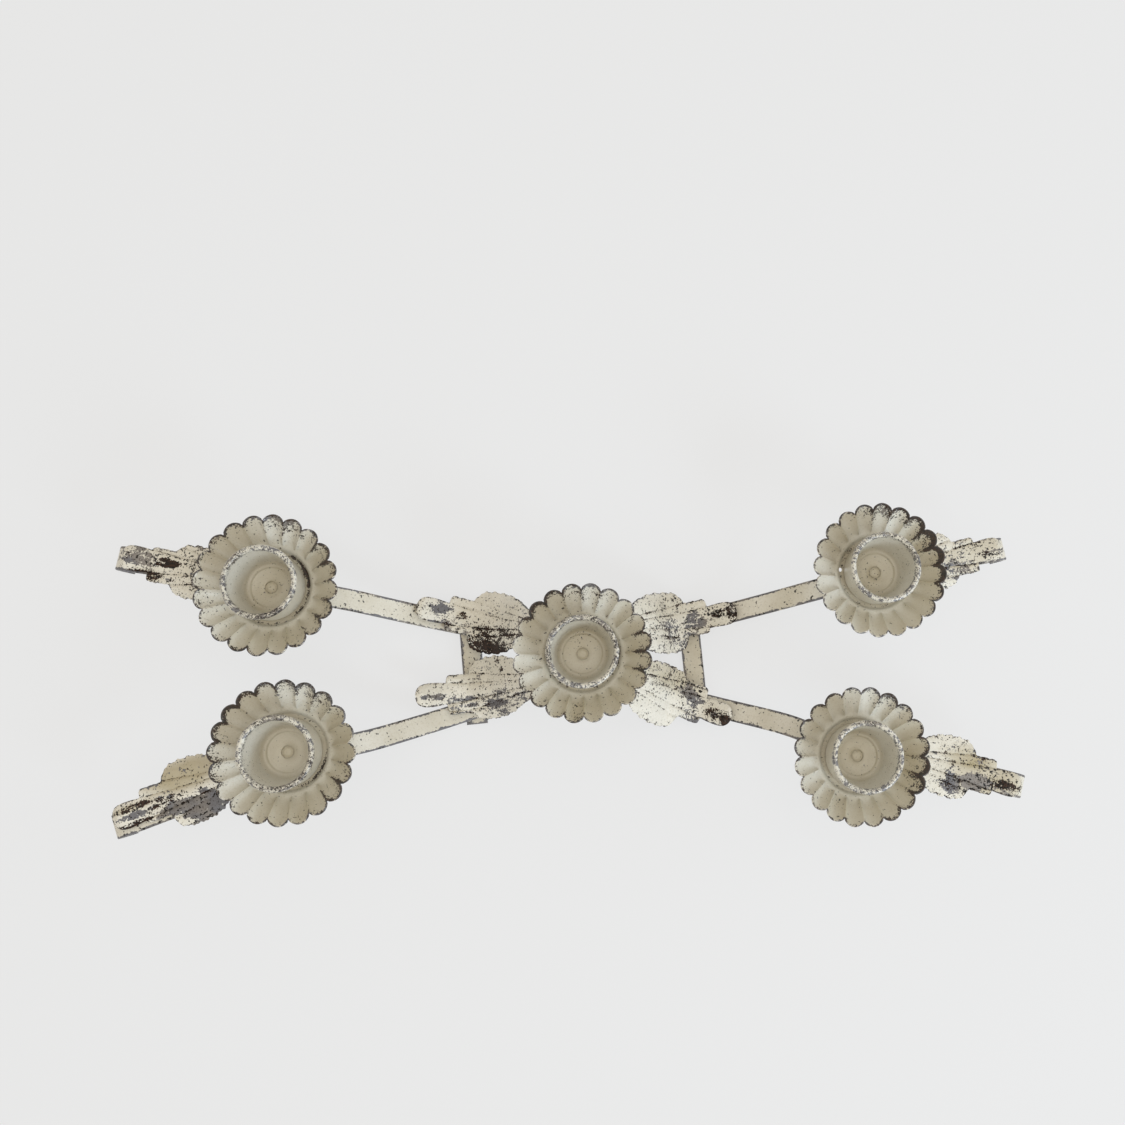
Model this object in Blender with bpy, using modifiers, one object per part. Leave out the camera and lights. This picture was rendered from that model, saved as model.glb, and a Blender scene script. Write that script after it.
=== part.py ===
"""Tabletop candelabra for five candles.

Two long flat bars, bent into a wide W, lie side by side over two foot strips. Each bar makes one arm on
the left and one on the right. Five fluted drip pans with candle cups are screwed down: one over the middle
of the two bars and one on the crest of each arm. Stamped acanthus leaves are riveted over the inner run
and over the outer end of every arm.

Units are metres and +Z is up. The table is at z = 0 and the origin is in the middle of the footprint.
"""

from collections import namedtuple
from math import atan2, ceil, cos, exp, hypot, pi, radians, sin, sqrt

import bmesh
import bpy
from mathutils import Matrix, Vector

# Air left between two pieces that would touch
GAP = 0.0003

# Place of the middle screw from the middle of the footprint
STEM_AT = (0.0020, 0.0073, 0.0)

# Flat bars
BAR_WIDTH = 0.0127
BAR_THICKNESS = 0.0032
BAR_SPREAD = 0.0093
BAR_EDGE = 0.0004
BEND_ROUND = 0.006
SWAY_LENGTH = 0.022
TIP_FLARE = 0.10
CURL_RADIUS = 0.008
CURL_ANGLE = radians(165)
CURL_STEPS = 8
STEPS_PER_KNOT = 4

# Side view of the arms
CENTRE_CREST = 0.0570
OUTER_CREST = 0.0578
CREST_FLAT = 0.011
FOOT_X = 0.069

# Foot strips and bridge plates
FOOT_SIZE = (0.0127, 0.070, 0.0030)
FOOT_TURN = radians(5)
BRIDGE_SIZE = (0.020, 0.031, 0.0025)

# Drip pans
FLUTES = 20
PAN_SHEET = 0.0010
PAN_RADIUS = 0.0395
WELL_RADIUS = 0.0212
PAN_DEPTH = 0.0155
FLUTE_DEPTH = 0.0028
STEPS_PER_FLUTE = 3

# Candle cups
CUP_RADIUS = 0.0204
CUP_HEIGHT = 0.0286
CUP_FLOOR = 0.0014
DIMPLE_RADIUS = 0.0040
DIMPLE_DEPTH = 0.0009

# Screws, nuts, washers, collars and rivets
SCREW_RADIUS = 0.0020
SCREW_HEAD_RADIUS = 0.0031
SCREW_HEAD_HEIGHT = 0.0009
SCREW_PAST_NUT = 0.0018
NUT_FLAT = 0.0035
NUT_HEIGHT = 0.0032
WASHER_RADIUS = 0.0048
WASHER_THICKNESS = 0.0008
COLLAR_RADIUS = 0.0075
OUTER_COLLAR = 0.0060
CENTRE_COLLAR = 0.0040
RIVET_RADIUS = 0.0014
RIVET_HEAD_RADIUS = 0.0027
RIVET_HEAD_HEIGHT = 0.0012
HEAD_OVER_BEND = 0.0007
SINK_RADIUS = 0.0026
SINK_DEPTH = 0.0013

# Leaves: (distance from the nose, half width) down one side of the outline
LEAF_SHEET = 0.0012
LEAF_OUTLINE = (
    (0.0000, 0.0014),
    (0.0010, 0.0042),
    (0.0035, 0.0061),
    (0.0070, 0.0068),
    (0.0175, 0.0068),
    (0.0190, 0.0110),
    (0.0320, 0.0118),
    (0.0360, 0.0165),
    (0.0420, 0.0188),
    (0.0500, 0.0190),
    (0.0580, 0.0172),
    (0.0660, 0.0125),
    (0.0740, 0.0080),
    (0.0790, 0.0062),
)
LEAF_ROWS = 4
LEAF_STEP = 0.0062
LEAF_GAP = 0.0008
LEAF_RISE = 0.0020
LEAF_DROOP = 0.0022
DROOP_FROM = 0.0130
HOOD_HEIGHT = 0.0026
HOOD_LENGTH = 0.020
NOSE_DIP = 0.0009
CENTRE_RIVET_X = 0.031
OUTER_RIVET_PAST_CREST = 0.020

# One arm: side -1 is left and +1 right, row +1 is the back bar and -1 the front bar. The slope is how far
# the arm runs out sideways as it goes outward, the lift raises its crest and the sway pushes the crest
# sideways. Each leaf has a sideways shift at its rivet, a turn about it and its nose's distance out.
Arm = namedtuple("Arm", "side row slope crest_x lift sway tip_x flute_turn centre_leaf end_leaf")
Leaf = namedtuple("Leaf", "shift turn nose_x")
ARMS = {
    "back_left": Arm(-1, 1, 0.194, 0.1740, 0.004, -0.0025, 0.2688, radians(-5.3),
                     Leaf(0.0025, radians(-2.0), 0.1010), Leaf(0.0015, radians(-0.5), 0.2638)),
    "front_left": Arm(-1, -1, 0.325, 0.1620, 0.006, 0.0080, 0.2630, radians(-1.5),
                      Leaf(0.0025, radians(-12.5), 0.1000), Leaf(0.0030, radians(2.0), 0.2580)),
    "back_right": Arm(1, 1, 0.212, 0.1730, -0.005, 0.0013, 0.2618, radians(-4.3),
                      Leaf(0.0030, radians(-3.0), 0.0960), Leaf(0.0, radians(0.0), 0.2568)),
    "front_right": Arm(1, -1, 0.283, 0.1575, -0.002, -0.0085, 0.2642, radians(-9.9),
                       Leaf(0.0012, radians(-5.0), 0.0900), Leaf(0.0030, radians(0.0), 0.2592)),
}
CENTRE_FLUTE_TURN = radians(-8.1)


# ---- Scene, materials and objects ----

def clear_scene():
    for found in list(bpy.data.objects):
        bpy.data.objects.remove(found, do_unlink=True)


def new_collection(name):
    collection = bpy.data.collections.new(name)
    bpy.context.scene.collection.children.link(collection)
    return collection


def new_material(name, colour, roughness, metallic):
    material = bpy.data.materials.new(name)
    material.use_nodes = True
    shader = material.node_tree.nodes["Principled BSDF"]
    shader.inputs["Base Color"].default_value = (*colour, 1.0)
    shader.inputs["Roughness"].default_value = roughness
    shader.inputs["Metallic"].default_value = metallic
    material.diffuse_color = (*colour, 1.0)
    return material


class Workshop:
    """Holds the collections, the stem that everything hangs from and the materials."""

    def __init__(self):
        self.parts = new_collection("tabletop_candelabra")
        self.cutters = new_collection("cutters")
        self.stem = bpy.data.objects.new("stem", None)
        self.stem.location = STEM_AT
        self.parts.objects.link(self.stem)
        self.materials = {
            "bar": new_material("bar paint", (0.52, 0.49, 0.41), 0.55, 0.0),
            "pan": new_material("pan paint", (0.42, 0.38, 0.29), 0.50, 0.0),
            "cup": new_material("cup paint", (0.46, 0.42, 0.34), 0.50, 0.0),
            "leaf": new_material("leaf paint", (0.60, 0.57, 0.50), 0.55, 0.0),
            "fastener": new_material("rusted steel", (0.17, 0.12, 0.09), 0.70, 0.6),
        }

    def add(self, name, mesh, kind):
        """Put a mesh in the object as one named piece that hangs from the stem."""
        mesh.materials.clear()
        mesh.materials.append(self.materials[kind])
        piece = bpy.data.objects.new(name, mesh)
        self.parts.objects.link(piece)
        piece.parent = self.stem
        return piece

    def add_cutter(self, name, mesh):
        """Put a mesh among the cutters, in the same frame as the pieces."""
        cutter = bpy.data.objects.new(name, mesh)
        self.cutters.objects.link(cutter)
        cutter.parent = self.stem
        cutter.hide_render = True
        cutter.display_type = "WIRE"
        return cutter


def finish_mesh(name, bm, smooth_angle=radians(40)):
    mesh = bpy.data.meshes.new(name)
    bm.to_mesh(mesh)
    bm.free()
    mesh.shade_smooth()
    mesh.set_sharp_from_angle(angle=smooth_angle)
    return mesh


def add_solidify(piece, thickness):
    solidify = piece.modifiers.new("thickness", "SOLIDIFY")
    solidify.thickness = thickness
    solidify.offset = 0.0


def add_bevel(piece, width):
    bevel = piece.modifiers.new("rounded edges", "BEVEL")
    bevel.width = width
    bevel.segments = 1
    bevel.limit_method = "ANGLE"
    bevel.angle_limit = radians(50)


def add_cut(piece, cutter):
    cut = piece.modifiers.new("holes", "BOOLEAN")
    cut.operation = "DIFFERENCE"
    cut.solver = "EXACT"
    cut.object = cutter


# ---- Shape helpers ----

def mapped_grid(columns, rows, place):
    """A grid whose corner (u, v), both from 0 to 1, is moved to place(u, v)."""
    bm = bmesh.new()
    bmesh.ops.create_grid(bm, x_segments=columns, y_segments=rows, size=0.5)
    for vert in bm.verts:
        vert.co = place(vert.co.x + 0.5, vert.co.y + 0.5)
    return bm


def ring_by_spin(profile, steps, start=0.0):
    """Spin a closed (radius, height) section about the Z axis."""
    bm = bmesh.new()
    turn = Matrix.Rotation(start, 4, "Z")
    verts = [bm.verts.new(turn @ Vector((radius, 0.0, height))) for radius, height in profile]
    edges = [bm.edges.new((verts[i - 1], verts[i])) for i in range(len(verts))]
    bmesh.ops.spin(bm, geom=verts + edges, cent=(0, 0, 0), axis=(0, 0, 1), angle=2 * pi,
                   steps=steps, use_merge=True)
    bmesh.ops.recalc_face_normals(bm, faces=bm.faces)
    return bm


def turned_mesh(name, profile, closed):
    """The (radius, height) profile that a Screw modifier turns about the Z axis."""
    bm = bmesh.new()
    verts = [bm.verts.new((radius, 0.0, height)) for radius, height in profile]
    for first, second in zip(verts, verts[1:]):
        bm.edges.new((first, second))
    if closed:
        bm.edges.new((verts[-1], verts[0]))
    mesh = bpy.data.meshes.new(name)
    bm.to_mesh(mesh)
    bm.free()
    return mesh


def add_turning(piece, steps):
    screw = piece.modifiers.new("turning", "SCREW")
    screw.axis = "Z"
    screw.angle = 2 * pi
    screw.steps = steps
    screw.render_steps = steps
    screw.use_merge_vertices = True
    screw.merge_threshold = 0.00001
    screw.use_smooth_shade = True


def box_mesh(name, size):
    bm = bmesh.new()
    bmesh.ops.create_cube(bm, size=1.0, matrix=Matrix.Diagonal((*size, 1.0)))
    return finish_mesh(name, bm)


def pins_mesh(name, pins, steps=12):
    """Round pins for cutting holes: a list of (placing matrix, radius, length)."""
    bm = bmesh.new()
    for matrix, radius, length in pins:
        bmesh.ops.create_cone(bm, cap_ends=True, segments=steps, radius1=radius, radius2=radius,
                              depth=length, matrix=matrix)
    return finish_mesh(name, bm)


def smooth_step(value, start, end):
    share = min(max((value - start) / (end - start), 0.0), 1.0)
    return share * share * (3 - 2 * share)


def along_table(table, value):
    """Read a table of (position, amount) at a position, in straight runs."""
    for (x0, y0), (x1, y1) in zip(table, table[1:]):
        if value <= x1:
            return y0 + (y1 - y0) * max(value - x0, 0.0) / (x1 - x0)
    return table[-1][1]


# ---- The arms' path ----

def arm_knots(arm):
    """Side view of an arm from the stem to its shoulder, as (distance out, height of its middle)."""
    rest = FOOT_SIZE[2] + GAP + BAR_THICKNESS / 2
    crest = OUTER_CREST + arm.lift
    climb = arm.crest_x - CREST_FLAT - FOOT_X
    shoulder = shoulder_x(arm)
    return (
        (0.0, CENTRE_CREST),
        (0.012, CENTRE_CREST),
        (0.026, CENTRE_CREST - 0.0055),
        (0.040, rest + 0.0305),
        (0.054, rest + 0.0090),
        (FOOT_X, rest),
        (FOOT_X + 0.20 * climb, rest + 0.09 * (crest - rest)),
        (FOOT_X + 0.45 * climb, rest + 0.37 * (crest - rest)),
        (FOOT_X + 0.75 * climb, rest + 0.80 * (crest - rest)),
        (arm.crest_x - CREST_FLAT, crest),
        (arm.crest_x + CREST_FLAT, crest),
        ((arm.crest_x + shoulder) / 2, crest - 0.0040),
        (shoulder - 0.010, crest - 0.0075),
        (shoulder, crest - 0.0085),
    )


def shoulder_x(arm):
    """Where the arm's end starts to curl down."""
    return arm.tip_x - BAR_THICKNESS / 2 - CURL_RADIUS


def knot_slopes(knots):
    """Slopes that keep the curve level at crests and never let it overshoot."""
    rates = [(z1 - z0) / (x1 - x0) for (x0, z0), (x1, z1) in zip(knots, knots[1:])]
    slopes = [0.0]
    for before, after in zip(rates, rates[1:]):
        rising_together = before * after > 0
        slopes.append(2 * before * after / (before + after) if rising_together else 0.0)
    return slopes + [0.0]


def arm_height(arm, x):
    """Height and slope of the arm's middle at a distance out from the stem."""
    knots = arm_knots(arm)
    slopes = knot_slopes(knots)
    x = min(max(x, 0.0), knots[-1][0])
    index = next(i for i in range(len(knots) - 1) if x <= knots[i + 1][0])
    (x0, z0), (x1, z1) = knots[index], knots[index + 1]
    width = x1 - x0
    t = (x - x0) / width
    height = (z0 * (1 + 2 * t) * (1 - t) ** 2 + slopes[index] * width * t * (1 - t) ** 2
              + z1 * t * t * (3 - 2 * t) + slopes[index + 1] * width * t * t * (t - 1))
    slope = ((z1 - z0) * 6 * t * (1 - t) / width + slopes[index] * (1 - t) * (1 - 3 * t)
             + slopes[index + 1] * t * (3 * t - 2))
    return height, slope


def arm_y(arm, x):
    """Sideways place of the arm's middle at a distance out from the stem."""
    run = sqrt(x * x + BEND_ROUND ** 2) - BEND_ROUND
    sway = arm.sway * exp(-((x - arm.crest_x) / SWAY_LENGTH) ** 2)
    return arm.row * (BAR_SPREAD + arm.slope * run) + sway


def arm_across(arm, x):
    """Level direction across the arm, towards the back."""
    step = 0.0005
    drift = (arm_y(arm, x + step) - arm_y(arm, max(x - step, 0.0))) / (x + step - max(x - step, 0.0))
    if x == 0.0:
        drift = 0.0
    return Vector((-arm.side * drift, 1.0, 0.0)).normalized()


def arm_point(arm, x, height):
    return Vector((arm.side * x, arm_y(arm, x), height))


def station_beside(arm, point):
    """Distance out from the stem of the arm's station that is square beside a point."""
    x = abs(point.x)
    for _ in range(4):
        across = arm_across(arm, x)
        outward = Vector((arm.side * across.y, -arm.side * across.x))
        away = Vector((point.x - arm.side * x, point.y - arm_y(arm, x)))
        x += away.dot(outward) * across.y
    return x


def arm_stations(arm):
    """Middle points and across directions from the stem to the curled tip."""
    knots = arm_knots(arm)
    stations = []
    for (x0, z0), (x1, z1) in zip(knots, knots[1:]):
        steps = STEPS_PER_KNOT if z0 != z1 else 2
        for i in range(steps):
            x = x0 + (x1 - x0) * i / steps
            stations.append((arm_point(arm, x, arm_height(arm, x)[0]), arm_across(arm, x)))
    shoulder, top = knots[-1]
    across = arm_across(arm, shoulder)
    for i in range(CURL_STEPS + 1):
        angle = CURL_ANGLE * i / CURL_STEPS
        x = shoulder + CURL_RADIUS * sin(angle)
        stations.append((arm_point(arm, x, top - CURL_RADIUS * (1 - cos(angle))), across))
    return stations


def on_arm(arm, x, shift=0.0):
    """A frame on the arm's middle whose Z axis stands square on the bar."""
    height, slope = arm_height(arm, x)
    across = arm_across(arm, x)
    outward = Vector((across.y * arm.side, -across.x * arm.side, slope)).normalized()
    normal = outward.cross(across) * arm.side
    matrix = Matrix((outward, normal.cross(outward), normal)).transposed().to_4x4()
    matrix.translation = arm_point(arm, x, height) + across * shift
    return matrix


# ---- Frame pieces ----

def leaf_rivet_xs(arm):
    return (CENTRE_RIVET_X, arm.crest_x + OUTER_RIVET_PAST_CREST)


def foot_crossing(arm):
    """Where the arm crosses its foot strip."""
    return Matrix.Translation(arm_point(arm, FOOT_X, 0.0))


def bar_holes(arms):
    """Pins for the candle screws, the leaf rivets and the foot rivets of one bar."""
    pins = []
    for arm in arms:
        crest = arm_point(arm, arm.crest_x, OUTER_CREST + arm.lift)
        pins.append((Matrix.Translation(crest), SCREW_RADIUS + GAP, 0.012))
        for x, leaf in zip(leaf_rivet_xs(arm), (arm.centre_leaf, arm.end_leaf)):
            pins.append((on_arm(arm, x, leaf.shift), RIVET_RADIUS + GAP, 0.012))
        pins.append((foot_crossing(arm), RIVET_RADIUS + GAP, 0.030))
    return pins


def make_bar(shop, name, left, right):
    """One long flat bar from the left tip to the right tip."""
    stations = list(reversed(arm_stations(left)[1:])) + arm_stations(right)
    last = len(stations) - 1

    def place(u, v):
        point, across = stations[round(u * last)]
        tip = left.tip_x if point.x < 0 else right.tip_x
        flare = 1 + TIP_FLARE * smooth_step(abs(point.x), tip - 0.035, tip - 0.010)
        return point + across * (v - 0.5) * BAR_WIDTH * flare

    bar = shop.add(name, finish_mesh(name, mapped_grid(last, 1, place)), "bar")
    add_solidify(bar, BAR_THICKNESS)
    add_bevel(bar, BAR_EDGE)
    add_cut(bar, shop.add_cutter(name + "_holes", pins_mesh(name + "_holes", bar_holes((left, right)))))


def make_foot(shop, name, back, front):
    """A cross strip that both bars stand on, with its two rivet holes countersunk below."""
    foot = shop.add(name, box_mesh(name, FOOT_SIZE), "bar")
    crossings = (foot_crossing(back), foot_crossing(front))
    middle = (crossings[0].translation + crossings[1].translation) / 2
    foot.location = (middle.x, middle.y, FOOT_SIZE[2] / 2)
    foot.rotation_euler.z = FOOT_TURN
    add_bevel(foot, BAR_EDGE)
    neck = RIVET_RADIUS + GAP
    mouth = SINK_RADIUS + 2 * GAP
    holes = pins_mesh(name + "_holes", [(crossing, neck, 0.020) for crossing in crossings])
    add_cut(foot, shop.add_cutter(name + "_holes", holes))
    bm = bmesh.new()
    for crossing in crossings:
        bmesh.ops.create_cone(bm, cap_ends=True, segments=12, radius1=2 * mouth - neck, radius2=neck,
                              depth=2 * SINK_DEPTH, matrix=crossing)
    add_cut(foot, shop.add_cutter(name + "_sinks", finish_mesh(name + "_sinks", bm)))


def make_bridges(shop):
    """The two plates that the middle screw pulls together over and under the bars."""
    lift = BAR_THICKNESS / 2 + GAP + BRIDGE_SIZE[2] / 2
    hole = shop.add_cutter("bridge_hole", pins_mesh(
        "bridge_hole", [(Matrix.Translation((0, 0, CENTRE_CREST)), SCREW_RADIUS + GAP, 0.030)]))
    for name, side in (("top_bridge_plate", 1), ("bottom_bridge_plate", -1)):
        plate = shop.add(name, box_mesh(name, BRIDGE_SIZE), "bar")
        plate.location = (0, 0, CENTRE_CREST + side * lift)
        add_bevel(plate, BAR_EDGE)
        add_cut(plate, hole)


def make_foot_rivet(shop, name, arm):
    """A rivet with a flush head under the foot strip and a round head on the bar."""
    top = arm_height(arm, FOOT_X)[0] + BAR_THICKNESS / 2 + HEAD_OVER_BEND
    profile = [
        (0.0, top + RIVET_HEAD_HEIGHT),
        (0.62 * RIVET_HEAD_RADIUS, top + 0.80 * RIVET_HEAD_HEIGHT),
        (RIVET_HEAD_RADIUS, top),
        (RIVET_RADIUS, top),
        (RIVET_RADIUS, SINK_DEPTH),
        (SINK_RADIUS, GAP),
        (0.0, GAP),
    ]
    rivet = shop.add(name, turned_mesh(name, profile, closed=False), "fastener")
    rivet.location = foot_crossing(arm).translation
    add_turning(rivet, 10)


# ---- Candle places ----

def flute_share(angle):
    """1 in the middle of a flute and 0 on the ridge between two flutes."""
    return abs(cos(FLUTES * angle / 2)) ** 0.7


def pan_mesh():
    """The pan's middle surface: a flat well with a steep fluted wall around it."""
    profile = (
        (SCREW_RADIUS + GAP, 0.0),
        (WELL_RADIUS, 0.0),
        (WELL_RADIUS + 0.0035, 0.0028),
        (PAN_RADIUS - 0.0022, PAN_DEPTH - 0.0024),
        (PAN_RADIUS, PAN_DEPTH),
    )
    bm = bmesh.new()
    step = 2 * pi / (FLUTES * STEPS_PER_FLUTE)
    turn = Matrix.Rotation(step / 2, 4, "Z")
    verts = [bm.verts.new(turn @ Vector((radius, 0.0, height))) for radius, height in profile]
    edges = [bm.edges.new(pair) for pair in zip(verts, verts[1:])]
    bmesh.ops.spin(bm, geom=verts + edges, cent=(0, 0, 0), axis=(0, 0, 1), angle=2 * pi,
                   steps=FLUTES * STEPS_PER_FLUTE, use_merge=True)
    for vert in bm.verts:
        radius = hypot(vert.co.x, vert.co.y)
        depth = FLUTE_DEPTH * smooth_step(radius, WELL_RADIUS - 0.0010, PAN_RADIUS - 0.0060)
        pull = 1 - depth * (1 - flute_share(atan2(vert.co.y, vert.co.x))) / radius
        vert.co.x *= pull
        vert.co.y *= pull
    return finish_mesh("drip_pan", bm, smooth_angle=radians(60))


def cup_profile():
    """The cup's wall and floor as a closed section, with a thick rolled rim and a dimple for the screw."""
    rim = CUP_RADIUS
    return [
        (SCREW_RADIUS + GAP, CUP_FLOOR - DIMPLE_DEPTH),
        (DIMPLE_RADIUS, CUP_FLOOR - DIMPLE_DEPTH),
        (DIMPLE_RADIUS + 0.0004, CUP_FLOOR),
        (0.0130, CUP_FLOOR),
        (0.0152, 0.0040),
        (0.0174, 0.0262),
        (0.0182, CUP_HEIGHT),
        (rim - 0.0003, CUP_HEIGHT - 0.0007),
        (rim, 0.0266),
        (rim - 0.0010, 0.0252),
        (0.0186, 0.0012),
        (0.0176, 0.0),
        (SCREW_RADIUS + GAP, 0.0),
    ]


def ring_profile(inner, outer, height):
    """A closed section for a collar or a washer, standing on z = 0."""
    return [(inner, height), (outer, height), (outer, 0.0), (inner, 0.0)]


def nut_mesh():
    """A six-sided nut: a ring whose outer side is drawn out to six flats."""
    bm = ring_by_spin(ring_profile(SCREW_RADIUS + GAP, NUT_FLAT, NUT_HEIGHT), 12)
    for vert in bm.verts:
        radius = hypot(vert.co.x, vert.co.y)
        if radius > SCREW_RADIUS + 2 * GAP:
            angle = atan2(vert.co.y, vert.co.x) % (pi / 3)
            stretch = 1 / cos(min(angle, pi / 3 - angle))
            vert.co.x *= stretch
            vert.co.y *= stretch
    return finish_mesh("nut", bm)


def screw_profile(length):
    """A screw with a low round head, from the top of its head down to its end."""
    return [
        (0.0, SCREW_HEAD_HEIGHT),
        (0.60 * SCREW_HEAD_RADIUS, 0.85 * SCREW_HEAD_HEIGHT),
        (SCREW_HEAD_RADIUS, 0.25 * SCREW_HEAD_HEIGHT),
        (SCREW_HEAD_RADIUS, 0.0),
        (SCREW_RADIUS, 0.0),
        (SCREW_RADIUS, -length),
        (0.0, -length),
    ]


def make_candle_place(shop, name, at, under, collar, turn, shared):
    """Pan, cup, collar, screw, washer and nut; at is the support's top and under its underside."""
    z = at.z + GAP
    profile = ring_profile(SCREW_RADIUS + GAP, COLLAR_RADIUS, collar)
    piece = shop.add(name + "_pan_collar", turned_mesh(name + "_pan_collar", profile, closed=True), "bar")
    piece.location = (at.x, at.y, z)
    add_turning(piece, 16)

    z += collar + GAP
    pan = shop.add(name + "_drip_pan", shared["pan"], "pan")
    pan.location = (at.x, at.y, z + PAN_SHEET / 2)
    pan.rotation_euler.z = turn
    add_solidify(pan, PAN_SHEET)

    z += PAN_SHEET + GAP
    cup = shop.add(name + "_candle_cup", shared["cup"], "cup")
    cup.location = (at.x, at.y, z)
    add_turning(cup, 24)

    z += CUP_FLOOR - DIMPLE_DEPTH + GAP
    nut_top = under - GAP - WASHER_THICKNESS - GAP
    length = z - (nut_top - NUT_HEIGHT) + SCREW_PAST_NUT
    screw = shop.add(name + "_screw", turned_mesh(name + "_screw", screw_profile(length), False), "fastener")
    screw.location = (at.x, at.y, z)
    add_turning(screw, 12)

    washer = shop.add(name + "_washer", shared["washer"], "fastener")
    washer.location = (at.x, at.y, under - GAP - WASHER_THICKNESS)
    add_turning(washer, 14)

    nut = shop.add(name + "_nut", shared["nut"], "fastener")
    nut.location = (at.x, at.y, nut_top - NUT_HEIGHT)


def make_candle_places(shop):
    washer = ring_profile(SCREW_RADIUS + GAP, WASHER_RADIUS, WASHER_THICKNESS)
    shared = {
        "pan": pan_mesh(),
        "cup": turned_mesh("candle_cup", cup_profile(), closed=True),
        "washer": turned_mesh("washer", washer, closed=True),
        "nut": nut_mesh(),
    }
    plate = BAR_THICKNESS / 2 + GAP + BRIDGE_SIZE[2]
    make_candle_place(shop, "centre", Vector((0, 0, CENTRE_CREST + plate)), CENTRE_CREST - plate,
                      CENTRE_COLLAR, CENTRE_FLUTE_TURN, shared)
    for name, arm in ARMS.items():
        crest = OUTER_CREST + arm.lift
        top = arm_point(arm, arm.crest_x, crest + BAR_THICKNESS / 2)
        make_candle_place(shop, name, top, crest - BAR_THICKNESS / 2, OUTER_COLLAR, arm.flute_turn, shared)


# ---- Leaves ----

def leaf_direction(arm, turn):
    """Level direction of a leaf's middle line, turned from the arm's own direction."""
    outward = Vector((arm.side, arm.row * arm.slope, 0.0)).normalized()
    return Matrix.Rotation(turn, 3, "Z") @ outward


def leaf_height(arm, x, nose_distance, aside, half_width, over_foot):
    """Height of the leaf's sheet: it follows the bar, droops at its edges and is hooded at its nose."""
    height, slope = arm_height(arm, x)
    clear = (BAR_THICKNESS / 2 + LEAF_GAP + LEAF_SHEET / 2) * hypot(1.0, slope)
    rise = LEAF_RISE * smooth_step(x, 0.046, 0.060) if over_foot else 0.0
    droop = LEAF_DROOP * smooth_step(abs(aside), DROOP_FROM, 0.0190)
    near_nose = 1 - smooth_step(nose_distance, 0.3 * HOOD_LENGTH, HOOD_LENGTH)
    roundness = sqrt(max(1 - (aside / half_width) ** 2, 0.0))
    hood = HOOD_HEIGHT * near_nose * roundness * smooth_step(nose_distance, -0.004, 0.004)
    dip = NOSE_DIP * (1 - smooth_step(nose_distance, 0.0, 0.004))
    return height + clear + rise + hood - droop - dip


def leaf_distances(length):
    """Distances from the nose of the leaf's cross lines: the outline's own and even steps between."""
    corners = [d for d, _ in LEAF_OUTLINE if d < length - 0.002] + [length]
    distances = [0.0]
    for start, end in zip(corners, corners[1:]):
        steps = ceil((end - start) / LEAF_STEP)
        distances += [start + (end - start) * i / steps for i in range(1, steps + 1)]
    return distances


def make_leaf(shop, name, arm, leaf, rivet_x, over_foot):
    """A stamped leaf over the arm, with its nose outward and its tail held by a rivet."""
    pivot = on_arm(arm, rivet_x, leaf.shift)
    outward = leaf_direction(arm, leaf.turn)
    aside = Vector((-outward.y, outward.x, 0.0))
    reach = (leaf.nose_x - rivet_x) / abs(outward.x)
    distances = leaf_distances(min(LEAF_OUTLINE[-1][0], reach + 0.0095))
    last = len(distances) - 1
    base = Vector((pivot.translation.x, pivot.translation.y, 0.0))

    def place(u, v):
        distance = distances[round(u * last)]
        half_width = along_table(LEAF_OUTLINE, distance)
        offset = (2 * v - 1) * half_width
        point = base + outward * (reach - distance) + aside * offset
        x = station_beside(arm, point)
        point.z = leaf_height(arm, x, distance, offset, half_width, over_foot)
        return point

    piece = shop.add(name, finish_mesh(name, mapped_grid(last, LEAF_ROWS, place)), "leaf")
    add_solidify(piece, LEAF_SHEET)
    pin = pins_mesh(name + "_hole", [(pivot, RIVET_RADIUS + GAP, 0.016)])
    add_cut(piece, shop.add_cutter(name + "_hole", pin))


def make_leaf_rivet(shop, name, arm, leaf, x):
    """A rivet square through the bar and the leaf's tail, with a head on each side."""
    top = BAR_THICKNESS / 2 + LEAF_GAP + LEAF_SHEET + GAP
    low = -BAR_THICKNESS / 2 - GAP
    profile = [
        (0.0, top + RIVET_HEAD_HEIGHT),
        (0.62 * RIVET_HEAD_RADIUS, top + 0.80 * RIVET_HEAD_HEIGHT),
        (RIVET_HEAD_RADIUS, top),
        (RIVET_RADIUS, top),
        (RIVET_RADIUS, low),
        (0.85 * RIVET_HEAD_RADIUS, low),
        (0.60 * RIVET_HEAD_RADIUS, low - 0.6 * RIVET_HEAD_HEIGHT),
        (0.0, low - 0.7 * RIVET_HEAD_HEIGHT),
    ]
    rivet = shop.add(name, turned_mesh(name, profile, closed=False), "fastener")
    rivet.matrix_local = on_arm(arm, x, leaf.shift)
    add_turning(rivet, 10)


def make_leaves(shop):
    for name, arm in ARMS.items():
        places = zip(("centre_leaf", "end_leaf"), (arm.centre_leaf, arm.end_leaf), leaf_rivet_xs(arm),
                     (True, False))
        for kind, leaf, x, over_foot in places:
            make_leaf(shop, f"{name}_{kind}", arm, leaf, x, over_foot)
            make_leaf_rivet(shop, f"{name}_{kind}_rivet", arm, leaf, x)


def main():
    clear_scene()
    shop = Workshop()
    make_bar(shop, "back_bar", ARMS["back_left"], ARMS["back_right"])
    make_bar(shop, "front_bar", ARMS["front_left"], ARMS["front_right"])
    make_foot(shop, "left_foot_strip", ARMS["back_left"], ARMS["front_left"])
    make_foot(shop, "right_foot_strip", ARMS["back_right"], ARMS["front_right"])
    make_bridges(shop)
    for name, arm in ARMS.items():
        make_foot_rivet(shop, name + "_foot_rivet", arm)
    make_candle_places(shop)
    make_leaves(shop)
    bpy.context.view_layer.update()


main()
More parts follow.
